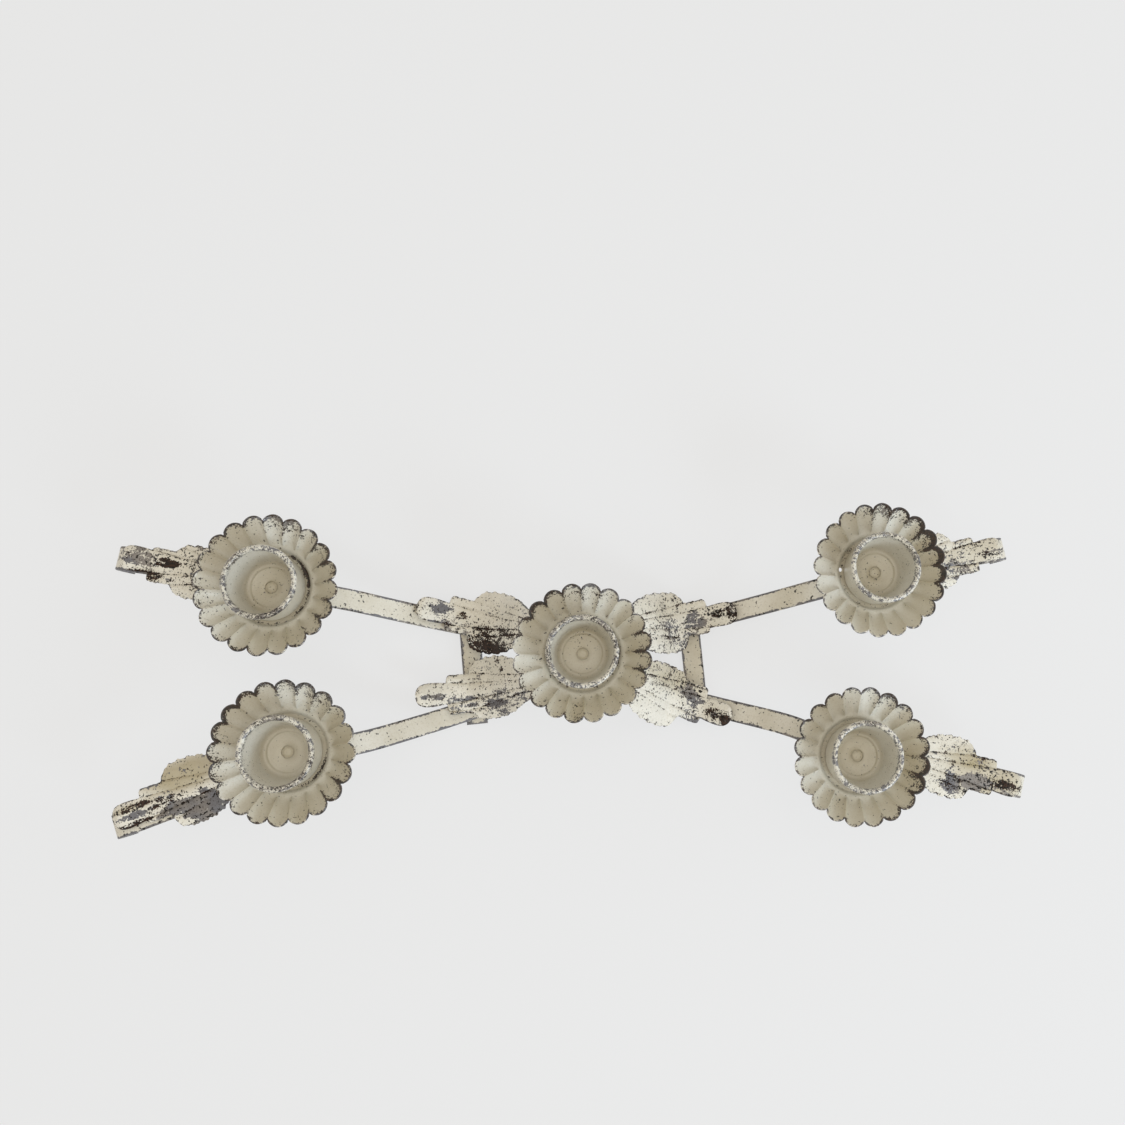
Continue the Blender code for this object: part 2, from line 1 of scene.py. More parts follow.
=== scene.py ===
"""Finish of a five-candle tabletop candelabra of chipped painted iron.

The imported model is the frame. Bars, strips, plates, drip pans, cups, collars and leaves are rebuilt here in
finer form on the frame's own places. The screws keep their shape and get an aged painted finish, and the
nuts, washers and rivets a rusted one. Lengths are metres unless a name ends in _mm.
"""

from collections import namedtuple
from math import atan, atan2, cos, exp, hypot, pi, radians, sin, sqrt

import bmesh
import bpy
from bpy.props import FloatProperty, FloatVectorProperty, PointerProperty
from mathutils import Matrix, Vector, noise


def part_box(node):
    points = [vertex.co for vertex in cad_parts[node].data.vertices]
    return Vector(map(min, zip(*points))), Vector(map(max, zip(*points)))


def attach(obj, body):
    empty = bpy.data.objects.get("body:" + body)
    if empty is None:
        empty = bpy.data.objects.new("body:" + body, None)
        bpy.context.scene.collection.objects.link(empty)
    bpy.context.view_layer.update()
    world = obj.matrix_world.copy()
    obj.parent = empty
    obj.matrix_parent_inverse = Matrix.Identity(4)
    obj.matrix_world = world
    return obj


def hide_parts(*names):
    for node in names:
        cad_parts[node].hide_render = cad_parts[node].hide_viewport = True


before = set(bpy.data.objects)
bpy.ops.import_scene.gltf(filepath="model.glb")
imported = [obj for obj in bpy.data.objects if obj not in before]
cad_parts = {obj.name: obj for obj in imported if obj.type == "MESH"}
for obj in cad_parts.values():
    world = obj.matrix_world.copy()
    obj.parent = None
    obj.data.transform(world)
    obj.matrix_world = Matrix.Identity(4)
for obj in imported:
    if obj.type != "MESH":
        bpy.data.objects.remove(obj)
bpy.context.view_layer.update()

bl_info = {
    "name": "Tabletop candelabra finish",
    "version": (1, 0, 0),
    "blender": (4, 5, 0),
    "location": "3D View > Sidebar > Candelabra",
    "description": "Builds the finished pieces of a five-candle tabletop candelabra around its frame",
    "category": "Object",
}

# Sizes that the frame was made with
GAP = 0.0003
PLATE_WIDTH = 0.020
PLATE_SPAN = 0.031
STRIP_SPAN = 0.070
BAR_WIDTH = 0.0127
BAR_THICKNESS = 0.0032
BAR_SPREAD = 0.0093
BEND_ROUND = 0.006
SWAY_LENGTH = 0.022
TIP_FLARE = 0.10
CURL_RADIUS = 0.008
CURL_ANGLE = radians(165)
CREST_FLAT = 0.011
FOOT_TURN = radians(5)
SCREW_HOLE = 0.0023
FLUTES = 20
LEAF_GAP = 0.0008
CENTRE_RIVET_X = 0.031
OUTER_RIVET_PAST_CREST = 0.020

PLACES = ("centre", "back_left", "front_left", "back_right", "front_right")

# Shape of each arm: slope sideways as it goes out, push sideways at the crest, turn of the pan's flutes
ArmShape = namedtuple("ArmShape", "side row slope sway flute_turn")
ARM_SHAPES = {
    "back_left": ArmShape(-1, 1, 0.194, -0.0025, radians(-5.3)),
    "front_left": ArmShape(-1, -1, 0.325, 0.0080, radians(-1.5)),
    "back_right": ArmShape(1, 1, 0.212, 0.0013, radians(-4.3)),
    "front_right": ArmShape(1, -1, 0.283, -0.0085, radians(-9.9)),
}
CENTRE_FLUTE_TURN = radians(-8.1)
# Where the seam of each cup's rolled rim is, in the order of PLACES
CUP_SEAMS = (radians(5), radians(188), radians(200), radians(20), radians(160))

# The camera: its place from the centre cup, its turns, its lens in mm and its sideways shift
CAMERA_FROM_STEM = (0.0050, -0.0353, 0.722)
CAMERA_TURNS = (radians(7.689), radians(-4.138), radians(-0.994))
CAMERA_LENS = 36.38
CAMERA_SHIFT = -0.10


# ---- Settings ----

def linear(hex_colour):
    """An sRGB hex colour such as "D9CFB8" as linear red, green and blue."""
    values = [int(hex_colour[i:i + 2], 16) / 255 for i in (0, 2, 4)]
    return tuple(v / 12.92 if v <= 0.04045 else ((v + 0.055) / 1.055) ** 2.4 for v in values)


def colour(name, description, hex_colour):
    return FloatVectorProperty(name=name, description=description, subtype="COLOR", size=3,
                               min=0.0, max=1.0, default=linear(hex_colour))


def length(name, description, default):
    return FloatProperty(name=name, description=description, default=default, min=0.0, unit="LENGTH",
                         precision=4)


def power(name, description, default):
    return FloatProperty(name=name, description=description, default=default, min=0.0, unit="POWER")


class CandelabraPaint(bpy.types.PropertyGroup):
    cream: colour("Cream paint", "Top coat where it is clean", "E2DED4")
    # The aged paint colour is also the colour that the pans' painted shade is mixed towards
    khaki: colour("Aged paint", "Top coat where it has yellowed", "A99C7C")
    lead: colour("Grey iron", "Iron under the chips", "737276")
    mauve: colour("Primer", "Primer under the chips", "8A847F")
    rust: colour("Rust", "Dark rust", "3A2519")
    soot: colour("Soot", "Black specks in the paint", "191410")
    patch_size: length("Patch size", "Width of a worn patch", 0.011)
    chip_size: length("Chip size", "Width of a chip in the paint", 0.003)
    speck_size: length("Speck size", "Width of a rust speck", 0.0011)


class CandelabraPans(bpy.types.PropertyGroup):
    sheet: length("Sheet", "Thickness of the pan's sheet", 0.0010)
    radius: length("Radius", "From the screw to the flutes' crests", 0.03922)
    well: length("Well radius", "From the screw to the foot of the step", 0.0212)
    depth: length("Depth", "Height of the rim over the well", 0.0155)
    flute: length("Flute depth", "How far the ridges stand in from the crests", 0.0036)


class CandelabraCups(bpy.types.PropertyGroup):
    radius: length("Rim radius", "From the screw to the outside of the rolled rim", 0.0204)
    height: length("Height", "From the cup's base to the top of its rim", 0.0286)
    floor: length("Floor", "Thickness of the floor", 0.0014)
    seam: length("Seam step", "Step in the rim where its ends meet", 0.0005)


class CandelabraLeaves(bpy.types.PropertyGroup):
    sheet: length("Sheet", "Thickness of the leaf's sheet", 0.0011)
    pillow: length("Relief", "Height of the stamped fingers over the creases", 0.0011)
    hood: length("Nose height", "Height of the rounded nose", 0.0030)
    droop: length("Droop", "How far the lobes' edges hang", 0.0024)


class CandelabraBars(bpy.types.PropertyGroup):
    edge: length("Edge radius", "Rounding of the bars' edges", 0.0006)
    wobble: length("Wobble", "Hammer marks in the bars' faces", 0.00012)


class CandelabraStage(bpy.types.PropertyGroup):
    floor: colour("Floor", "Colour of the floor", "6A6B6D")
    glow: FloatProperty(name="Floor glow", description="Even light of the floor, which keeps shadows faint",
                        default=0.66, min=0.0, max=1.0, subtype="FACTOR")
    daylight: colour("Daylight", "Colour of the light from the windows", "DCEEFF")
    surround: colour("Surround", "Colour of the light from all round", "F2ECE0")
    window_power: power("Window power", "Power of the main soft light", 19.0)
    side_power: power("Side window power", "Power of the weaker light from the right", 2.5)
    ceiling_power: power("Ceiling power", "Power of the soft light above", 12.0)
    sky: FloatProperty(name="Surround strength", description="Brightness of the surround", default=0.68,
                       min=0.0)


# ---- Arms' path, on the frame's places ----

Arm = namedtuple("Arm", "side row slope sway crest_x crest_z tip_x")


def middle(node):
    low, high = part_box(node)
    return (low + high) / 2


def base_at(node):
    """The middle of a node's box, at its lowest height."""
    place = middle(node)
    place.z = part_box(node)[0].z
    return place


STEM = middle("centre_candle_cup")
REST_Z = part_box("left_foot_strip")[1].z + GAP + BAR_THICKNESS / 2
CENTRE_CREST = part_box("top_bridge_plate")[0].z - GAP - BAR_THICKNESS / 2
FOOT_X = STEM.x - middle("left_foot_strip").x


def make_arm(name):
    shape = ARM_SHAPES[name]
    low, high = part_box("back_bar" if shape.row > 0 else "front_bar")
    end = high.x - STEM.x if shape.side > 0 else STEM.x - low.x
    corner = BAR_WIDTH * (1 + TIP_FLARE) / 2 * sin(atan(shape.slope))
    crest_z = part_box(name + "_pan_collar")[0].z - GAP - BAR_THICKNESS / 2
    crest_x = abs(middle(name + "_drip_pan").x - STEM.x)
    return Arm(shape.side, shape.row, shape.slope, shape.sway, crest_x, crest_z, end - corner)


ARMS = {name: make_arm(name) for name in ARM_SHAPES}


def smooth_step(value, start, end):
    t = min(max((value - start) / (end - start), 0.0), 1.0)
    return t * t * (3 - 2 * t)


def along_table(table, value):
    """Read a table of (position, amount) at a position, in straight runs."""
    for (x0, y0), (x1, y1) in zip(table, table[1:]):
        if value <= x1:
            return y0 + (y1 - y0) * max(value - x0, 0.0) / (x1 - x0)
    return table[-1][1]


def shoulder_x(arm):
    """Where the arm's end starts to curl down."""
    return arm.tip_x - BAR_THICKNESS / 2 - CURL_RADIUS


def arm_knots(arm):
    """Side view of an arm from the stem to its shoulder, as (distance out, height of its middle)."""
    climb = arm.crest_x - CREST_FLAT - FOOT_X
    rise = arm.crest_z - REST_Z
    shoulder = shoulder_x(arm)
    return (
        (0.0, CENTRE_CREST),
        (0.012, CENTRE_CREST),
        (0.026, CENTRE_CREST - 0.0055),
        (0.040, REST_Z + 0.0305),
        (0.054, REST_Z + 0.0090),
        (FOOT_X, REST_Z),
        (FOOT_X + 0.20 * climb, REST_Z + 0.09 * rise),
        (FOOT_X + 0.45 * climb, REST_Z + 0.37 * rise),
        (FOOT_X + 0.75 * climb, REST_Z + 0.80 * rise),
        (arm.crest_x - CREST_FLAT, arm.crest_z),
        (arm.crest_x + CREST_FLAT, arm.crest_z),
        ((arm.crest_x + shoulder) / 2, arm.crest_z - 0.0040),
        (shoulder - 0.010, arm.crest_z - 0.0075),
        (shoulder, arm.crest_z - 0.0085),
    )


def knot_slopes(knots):
    """Slopes that keep the curve level at crests and never let it overshoot."""
    rates = [(z1 - z0) / (x1 - x0) for (x0, z0), (x1, z1) in zip(knots, knots[1:])]
    slopes = [0.0]
    for before, after in zip(rates, rates[1:]):
        slopes.append(2 * before * after / (before + after) if before * after > 0 else 0.0)
    return slopes + [0.0]


KNOTS = {arm: arm_knots(arm) for arm in ARMS.values()}
SLOPES = {arm: knot_slopes(KNOTS[arm]) for arm in ARMS.values()}


def arm_height(arm, x):
    """Height and slope of the arm's middle at a distance out from the stem."""
    knots = KNOTS[arm]
    slopes = SLOPES[arm]
    x = min(max(x, 0.0), knots[-1][0])
    index = next(i for i in range(len(knots) - 1) if x <= knots[i + 1][0])
    (x0, z0), (x1, z1) = knots[index], knots[index + 1]
    width = x1 - x0
    t = (x - x0) / width
    height = (z0 * (1 + 2 * t) * (1 - t) ** 2 + slopes[index] * width * t * (1 - t) ** 2
              + z1 * t * t * (3 - 2 * t) + slopes[index + 1] * width * t * t * (t - 1))
    slope = ((z1 - z0) * 6 * t * (1 - t) / width + slopes[index] * (1 - t) * (1 - 3 * t)
             + slopes[index + 1] * t * (3 * t - 2))
    return height, slope


def arm_y(arm, x):
    """Sideways place of the arm's middle at a distance out from the stem."""
    run = sqrt(x * x + BEND_ROUND ** 2) - BEND_ROUND
    sway = arm.sway * exp(-((x - arm.crest_x) / SWAY_LENGTH) ** 2)
    return arm.row * (BAR_SPREAD + arm.slope * run) + sway


def arm_across(arm, x):
    """Level direction across the arm, towards the back."""
    step = 0.0005
    drift = 0.0
    if x > 0:
        start = max(x - step, 0.0)
        drift = (arm_y(arm, x + step) - arm_y(arm, start)) / (x + step - start)
    return Vector((-arm.side * drift, 1.0, 0.0)).normalized()


def arm_point(arm, x, height):
    return Vector((STEM.x + arm.side * x, STEM.y + arm_y(arm, x), height))


def station_beside(arm, point):
    """Distance out from the stem of the arm's station that is square beside a point."""
    x = abs(point.x - STEM.x)
    for _ in range(4):
        across = arm_across(arm, x)
        outward = Vector((arm.side * across.y, -arm.side * across.x))
        here = arm_point(arm, x, 0.0)
        x += Vector((point.x - here.x, point.y - here.y)).dot(outward) * across.y
    return x


def arm_stations(arm, step=0.0016, curl_steps=20):
    """Middle points and across directions from the stem to the curled tip."""
    shoulder, top = KNOTS[arm][-1]
    count = round(shoulder / step)
    stations = []
    for i in range(count):
        x = shoulder * i / count
        stations.append((arm_point(arm, x, arm_height(arm, x)[0]), arm_across(arm, x)))
    across = arm_across(arm, shoulder)
    for i in range(curl_steps + 1):
        angle = CURL_ANGLE * i / curl_steps
        point = arm_point(arm, shoulder + CURL_RADIUS * sin(angle), top - CURL_RADIUS * (1 - cos(angle)))
        stations.append((point, across))
    return stations


# ---- Meshes ----

# What a point of a piece carries: its place, how bare, rusted and yellowed it is from 0 to 1, where the
# yellowing on the pans also carries painted shade, and its place along and across the piece, which patterns
# with a direction follow
Spot = namedtuple("Spot", "point bare rust shade flow")


def mark_verts(bm, place):
    """Move every vert to the spot that place(its point) gives, with what its finish reads."""
    wear = {name: bm.verts.layers.float.new(name) for name in ("bare", "rust", "shade")}
    flow = bm.verts.layers.float_vector.new("flow")
    for vert in bm.verts:
        spot = place(vert.co.copy())
        vert.co = spot.point
        vert[flow] = spot.flow
        for name, layer in wear.items():
            vert[layer] = min(max(getattr(spot, name), 0.0), 1.0)
    return bm


def mapped_grid(columns, rows, place):
    """A grid whose corner (u, v), both from 0 to 1, is moved to the spot that place(u, v) gives."""
    bm = bmesh.new()
    bmesh.ops.create_grid(bm, x_segments=columns, y_segments=rows, size=0.5)
    return mark_verts(bm, lambda corner: place(corner.x + 0.5, corner.y + 0.5))


def spun_section(section, steps, closed, place):
    """A (radius, height) section turned round the Z axis, each vert moved by place(its point)."""
    bm = bmesh.new()
    verts = [bm.verts.new((radius, 0.0, height)) for radius, height in section]
    edges = [bm.edges.new(pair) for pair in zip(verts, verts[1:])]
    if closed:
        edges.append(bm.edges.new((verts[-1], verts[0])))
    bmesh.ops.spin(bm, geom=verts + edges, cent=(0, 0, 0), axis=(0, 0, 1), angle=2 * pi, steps=steps,
                   use_merge=True)
    bmesh.ops.recalc_face_normals(bm, faces=bm.faces)
    return mark_verts(bm, place)


def new_piece(name, bm, material, node, smooth_angle=radians(50)):
    """Turn a bmesh into a piece that stands for a node of the frame."""
    mesh = bpy.data.meshes.new(name)
    bm.to_mesh(mesh)
    bm.free()
    mesh.shade_smooth()
    mesh.set_sharp_from_angle(angle=smooth_angle)
    mesh.materials.append(material)
    piece = bpy.data.objects.new(name, mesh)
    bpy.context.scene.collection.objects.link(piece)
    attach(piece, "root")
    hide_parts(node)
    return piece


def add_sheet(piece, thickness, edge):
    """Give a surface its sheet and round the sheet's edge."""
    solidify = piece.modifiers.new("sheet", "SOLIDIFY")
    solidify.thickness = thickness
    solidify.offset = 0.0
    bevel = piece.modifiers.new("rounded edge", "BEVEL")
    bevel.width = edge
    bevel.segments = 2
    bevel.limit_method = "ANGLE"
    bevel.angle_limit = radians(60)


def round_section(width, thickness, edge):
    """(across, up, wear) round a flat bar's section, starting and ending at the same point."""
    points = []
    half_w = width / 2 - edge
    half_t = thickness / 2 - edge
    corners = ((half_w, half_t), (-half_w, half_t), (-half_w, -half_t), (half_w, -half_t))
    for index, (across, up) in enumerate(corners):
        for i in range(3):
            angle = (index + i / 2) * pi / 2
            points.append((across + edge * cos(angle), up + edge * sin(angle), 1.0))
        to_across, to_up = corners[(index + 1) % 4]
        long_side = index % 2 == 0
        shift = Vector((0, edge if index == 0 else -edge) if long_side else (edge * (index - 2), 0))
        for t in ((0.10, 0.26, 0.5, 0.74, 0.90) if long_side else (0.5,)):
            wear = max(abs(t - 0.5) * 2 - 0.55, 0.0) if long_side else 0.35
            points.append((across + (to_across - across) * t + shift.x,
                           up + (to_up - up) * t + shift.y, wear))
    return points + points[:1]


def swept_bar(path, width, thickness, edge, wobble, wear_at):
    """A flat bar along a path of (middle, across, width share), with worn edges and closed ends.

    wear_at(middle, aside, up) gives how bare, rusted and yellowed the bar's face is there."""
    section = round_section(width, thickness, edge)
    last = len(path) - 1
    lengths = [0.0]
    for (start, _, _), (end, _, _) in zip(path, path[1:]):
        lengths.append(lengths[-1] + (end - start).length)

    def place(u, v):
        index = round(u * last)
        point, across, flare = path[index]
        tangent = (path[min(index + 1, last)][0] - path[max(index - 1, 0)][0]).normalized()
        up = tangent.cross(across).normalized()
        aside, high, wear = section[round(v * (len(section) - 1))]
        at = point + across * aside * flare + up * high
        dent = wobble * noise.noise(at * 160)
        end = 1 - smooth_step(min(lengths[index], lengths[-1] - lengths[index]), 0.0, BAR_THICKNESS / 2)
        bare, rust, shade = wear_at(point, aside, high)
        return Spot(at - up * abs(dent), bare + 0.75 * max(wear, end), rust, shade,
                    Vector((lengths[index], aside, high)))

    bm = mapped_grid(last, len(section) - 1, place)
    bmesh.ops.remove_doubles(bm, verts=bm.verts, dist=0.00001)
    bmesh.ops.holes_fill(bm, edges=[e for e in bm.edges if e.is_boundary], sides=0)
    bmesh.ops.recalc_face_normals(bm, faces=bm.faces)
    return bm


# ---- Pans, cups and collars ----

def flute_share(angle):
    """1 in the middle of a flute and 0 on the ridge between two flutes."""
    return abs(cos(FLUTES * angle / 2)) ** 0.7


def angle_gap(angle, other):
    return abs((angle - other + pi) % (2 * pi) - pi)


def hump(distance, spread):
    """1 at no distance, falling smoothly to almost nothing at twice the spread."""
    return exp(-(distance / spread) ** 2)


def pan_section(pans):
    """The pan's middle surface from the screw hole to the rim, with a step round the well."""
    rim, well, depth = pans.radius, pans.well, pans.depth
    wall = depth - 0.0030
    section = [(SCREW_HOLE, 0.0)]
    section += [(SCREW_HOLE + (well - 0.0008 - SCREW_HOLE) * i / 8, 0.0) for i in range(1, 9)]
    section += [(well, 0.0002), (well + 0.0006, 0.0010), (well + 0.0011, 0.0019), (well + 0.0018, 0.0025),
                (well + 0.0027, 0.0029)]
    start = well + 0.0036
    for i in range(15):
        t = i / 14
        section.append((start + (rim - start) * (t ** 0.92), 0.0031 + (wall - 0.0001) * t ** 1.12))
    return section


# One kind of wear round a pan, or one place of painted light or painted shade on its flutes: the heading and
# spread of where it sits, in degrees, and how much there is
WearOrPaintedLight = namedtuple("WearOrPaintedLight", "heading spread amount")
# Wear of a pan: dark rust at the rim, rust running down the ridges, and grey specks in the flutes
PanWear = namedtuple("PanWear", "stains streaks grey")
PAN_WEAR = {
    "centre": PanWear((WearOrPaintedLight(135, 30, 0.85),), (WearOrPaintedLight(5, 32, 0.95), WearOrPaintedLight(215, 22, 0.35)),
                      (WearOrPaintedLight(85, 32, 0.40),)),
    "back_left": PanWear((WearOrPaintedLight(135, 26, 0.55), WearOrPaintedLight(245, 32, 0.55)),
                         (WearOrPaintedLight(22, 30, 0.95), WearOrPaintedLight(-35, 24, 0.65)),
                         (WearOrPaintedLight(80, 34, 0.42), WearOrPaintedLight(190, 24, 0.20))),
    "front_left": PanWear((WearOrPaintedLight(135, 34, 1.05), WearOrPaintedLight(235, 36, 0.40)), (WearOrPaintedLight(-33, 26, 0.95),),
                          (WearOrPaintedLight(72, 38, 0.50), WearOrPaintedLight(185, 24, 0.20))),
    "back_right": PanWear((WearOrPaintedLight(12, 48, 1.10), WearOrPaintedLight(140, 26, 0.35)), (WearOrPaintedLight(22, 30, 0.80),),
                          (WearOrPaintedLight(78, 32, 0.50),)),
    "front_right": PanWear((WearOrPaintedLight(8, 50, 0.60), WearOrPaintedLight(130, 28, 0.50), WearOrPaintedLight(285, 28, 0.40)),
                           (WearOrPaintedLight(-18, 30, 0.50),), (WearOrPaintedLight(66, 26, 0.46), WearOrPaintedLight(172, 18, 0.25))),
}
# Painted light and shade on the flutes of every pan: towards the first headings they stay pale as painted
# light where the main lamp falls, away from them they are painted darker as painted shade, and darker still
# towards the last heading
PAINTED_LIGHT_HEADINGS = (WearOrPaintedLight(195, 37.8, 1.0), WearOrPaintedLight(77, 34.4, 1.0))
PAINTED_SHADE_HEADINGS = (WearOrPaintedLight(8, 28.6, 0.12),)
# The worn-through hole in the back right pan's well: heading, distance from the screw and radius
HOLE = (radians(174), 0.0208, 0.0013)


def wear_or_painted_light_at(heading, wear):
    """How much of one kind of wear, or of painted light or shade, a pan has towards a heading."""
    return sum(worn.amount * hump(angle_gap(heading, radians(worn.heading)), radians(worn.spread))
               for worn in wear)


def pierce(bm, at, radius):
    """Cut a small round hole through a level sheet."""
    inside = [face for face in bm.faces if (face.calc_center_median() - at).xy.length < radius]
    bmesh.ops.delete(bm, geom=inside, context="FACES")
    for vert in bm.verts:
        away = (vert.co - at).xy
        if vert.is_boundary and away.length < 2 * radius:
            vert.co.xy = at.xy + away.normalized() * radius


def make_pan(name, pans, material, turn):
    """A pressed pan with 20 flutes, a stepped well, its own wear, and painted light and shade on its flutes.
    """
    at = base_at(name + "_drip_pan")
    lift = pans.sheet / 2
    wear = PAN_WEAR[name]

    def place(point):
        radius = hypot(point.x, point.y)
        crest = flute_share(atan2(point.y, point.x))
        grown = smooth_step(radius, pans.well + 0.0012, pans.radius - 0.0085)
        pull = 1 - pans.flute * grown * (1 - crest) / radius
        flat = Matrix.Rotation(turn, 3, "Z") @ Vector((point.x * pull, point.y * pull, point.z))
        heading = atan2(flat.y, flat.x)
        world = flat + at + Vector((0, 0, lift))
        dent = 0.00022 * noise.noise(world * 95) * smooth_step(radius, 0.010, pans.well)
        world += Vector((cos(heading), sin(heading), 1.0)) * dent
        # How near the point is to the rim, the ridges between flutes, the well and the foot of its step
        below = pans.depth - point.z
        rim, near_rim, top, upper = (
            1 - smooth_step(below, start, end)
            for start, end in ((0.0004, 0.0012), (0.0012, 0.0036), (0.0010, 0.0080), (0.0040, 0.0105)))
        ridge = grown * hump(crest, 0.374)
        well = 1 - smooth_step(radius, pans.well - 0.0010, pans.well + 0.0010)
        step_foot = hump(radius - pans.well + 0.0006, 0.0010)
        stain = wear_or_painted_light_at(heading, wear.stains)
        streak = wear_or_painted_light_at(heading, wear.streaks)
        grey = wear_or_painted_light_at(heading, wear.grey)
        bare = 0.52 * rim + grey * upper * (0.62 + 0.30 * ridge) + 0.60 * grey * near_rim
        rust = 0.34 * rim + 0.06 * top + stain * near_rim * (0.72 + 0.35 * ridge)
        rust += streak * upper * (0.38 + 0.72 * ridge) + (0.36 + 0.75 * streak) * step_foot
        rust += grey * upper * (0.66 + 0.30 * ridge) - 0.25 * grey * near_rim
        # Painted shade: the flutes are painted darker away from the painted light headings and darker again
        # towards the painted shade headings. They are also painted a little darker along the ridges, and the
        # well and the flat ring inside the flutes are painted darker
        painted_shade_and_ridge_tone = 0.50 * max(1 - wear_or_painted_light_at(heading, PAINTED_LIGHT_HEADINGS), 0.0) + wear_or_painted_light_at(heading, PAINTED_SHADE_HEADINGS) + 0.12 * ridge
        shade = 0.06 + painted_shade_and_ridge_tone * grown + 0.24 * (1 - grown) + 0.36 * well
        return Spot(world, bare, rust, shade, Vector((radius, heading * pans.well, 0.0)))

    bm = spun_section(pan_section(pans), FLUTES * 12, False, place)
    if name == "back_right":
        heading, away, radius = HOLE
        pierce(bm, at + Vector((away * cos(heading), away * sin(heading), lift)), radius)
    piece = new_piece(name + "_fluted_pan", bm, material, name + "_drip_pan", radians(70))
    add_sheet(piece, pans.sheet, 0.00025)
    return piece


def cup_section(cups):
    """The cup's wall and floor as a closed section, from the dimple out, over the rim and back."""
    rim, top, floor = cups.radius, cups.height, cups.floor
    inside = [
        (SCREW_HOLE, floor - 0.0009), (0.0033, floor - 0.0009), (0.0034, floor - 0.0003), (0.0038, floor),
        (0.0070, floor), (0.0098, floor), (0.0104, floor + 0.0002), (0.0108, floor + 0.0003),
        (0.0112, floor + 0.0002), (0.0117, floor), (0.0126, floor + 0.0001), (0.0135, floor + 0.0005),
        (0.0143, floor + 0.0013), (0.0149, floor + 0.0026),
    ]
    wall = [(0.0151 + 0.0022 * i / 8, 0.0052 + 0.0206 * i / 8) for i in range(9)]
    bead = (rim - 0.0016, top - 0.0017)
    lip = []
    for i in range(11):
        angle = pi - i * radians(24)
        lip.append((bead[0] + 0.0016 * cos(angle), bead[1] + 0.0017 * sin(angle)))
    outside = [(rim - 0.0012 - 0.0004 * i / 6, 0.0244 - 0.0222 * i / 6) for i in range(7)]
    foot = [(0.0186, 0.0011), (0.0183, 0.0004), (0.0177, 0.0), (0.0120, 0.0), (0.0060, 0.0),
            (SCREW_HOLE, 0.0)]
    return inside + wall + lip + outside + foot


def make_cup(name, cups, material, seam):
    """A straight cup whose rim is rolled into a bead that meets at a seam."""
    at = base_at(name + "_candle_cup")

    def place(point):
        radius = hypot(point.x, point.y)
        heading = atan2(point.y, point.x)
        bead = smooth_step(point.z, cups.height - 0.0042, cups.height - 0.0026)
        past_seam = (heading - seam) % (2 * pi)
        step = cups.seam * bead * (exp(-past_seam / 0.5) - 0.35 * hump(angle_gap(heading, seam), 0.03))
        outer = smooth_step(radius, cups.radius - 0.0024, cups.radius - 0.0004)
        dent = 0.00018 * noise.noise((point + at) * 260) * bead
        grow = 1 + (dent - outer * step) / radius
        world = Vector((point.x * grow, point.y * grow, point.z)) + at
        world.z -= abs(dent) + 0.4 * abs(step)
        inside = radius < 0.0176
        floor = 1 - smooth_step(point.z, 0.0015, 0.0050) if inside else 0.0
        foot = 0.0 if inside else 1 - smooth_step(point.z, 0.0002, 0.0030)
        bare = 0.42 * bead + 0.10 * foot
        rust = 0.34 * bead + 0.62 * foot
        # The floor inside is painted darker, the outside a little darker and the bead a little paler
        shade = 0.12 + 0.50 * floor + (0.0 if inside else 0.24) - 0.08 * bead
        return Spot(world, bare, rust, shade, Vector((radius, heading * cups.radius, point.z)))

    bm = spun_section(cup_section(cups), 120, True, place)
    return new_piece(name + "_cup", bm, material, name + "_candle_cup")


def make_collar(name, material):
    """A turned collar with rounded edges between the bar and the pan."""
    node = name + "_pan_collar"
    low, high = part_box(node)
    at = base_at(node)
    outer = (high.x - low.x) / 2
    top = high.z - low.z
    edge = 0.0006
    section = [(SCREW_HOLE, 0.0), (outer - edge, 0.0), (outer - 0.3 * edge, 0.3 * edge), (outer, edge),
               (outer, top / 2), (outer, top - edge), (outer - 0.3 * edge, top - 0.3 * edge),
               (outer - edge, top), (SCREW_HOLE, top)]

    def place(point):
        radius = hypot(point.x, point.y)
        wear = smooth_step(abs(point.z - top / 2), top / 2 - 2 * edge, top / 2)
        flow = Vector((radius, atan2(point.y, point.x) * outer, point.z))
        return Spot(point + at, 0.6 * wear * (radius > outer - 2 * edge), 0.35, 0.5, flow)

    bm = spun_section(section, 48, True, place)
    return new_piece(name + "_collar", bm, material, node)


# ---- Leaves ----

# Outline of the stamped leaf down one side: (distance from the nose, half width), in mm
LEAF_OUTLINE_MM = (
    (0.0, 0.9), (0.4, 2.9), (1.2, 4.5), (2.6, 5.8), (4.6, 6.6), (7.5, 6.9), (12.0, 6.8), (16.6, 6.4),
    (17.6, 6.7), (18.1, 10.8), (19.5, 11.4), (26.0, 11.2), (30.5, 10.9), (31.6, 11.6), (32.8, 14.0),
    (34.8, 16.6), (38.0, 18.4), (43.0, 19.0), (49.0, 18.8), (54.0, 17.9), (58.5, 16.4), (62.5, 14.2),
    (66.0, 11.8), (70.0, 9.6), (74.0, 8.0), (79.0, 6.4),
)
NOSE_END_MM = 17.6
TAB_END_MM = 31.6
TAIL_MM = 74.0

# One leaf: sideways shift at its rivet, turn about it, nose's distance out, and how much wider
# or narrower its back and front tabs and lobes are, and how much its back and front lobes curl
LeafShape = namedtuple("LeafShape", "shift turn nose_x tabs lobes curls")
# A worn patch on a leaf, or in one place a painted shadow: distance from the nose and towards the back, half
# length and half width, all in mm, and how much bare iron, rust and yellowing it adds
Patch = namedtuple("Patch", "along aside length width bare rust shade")

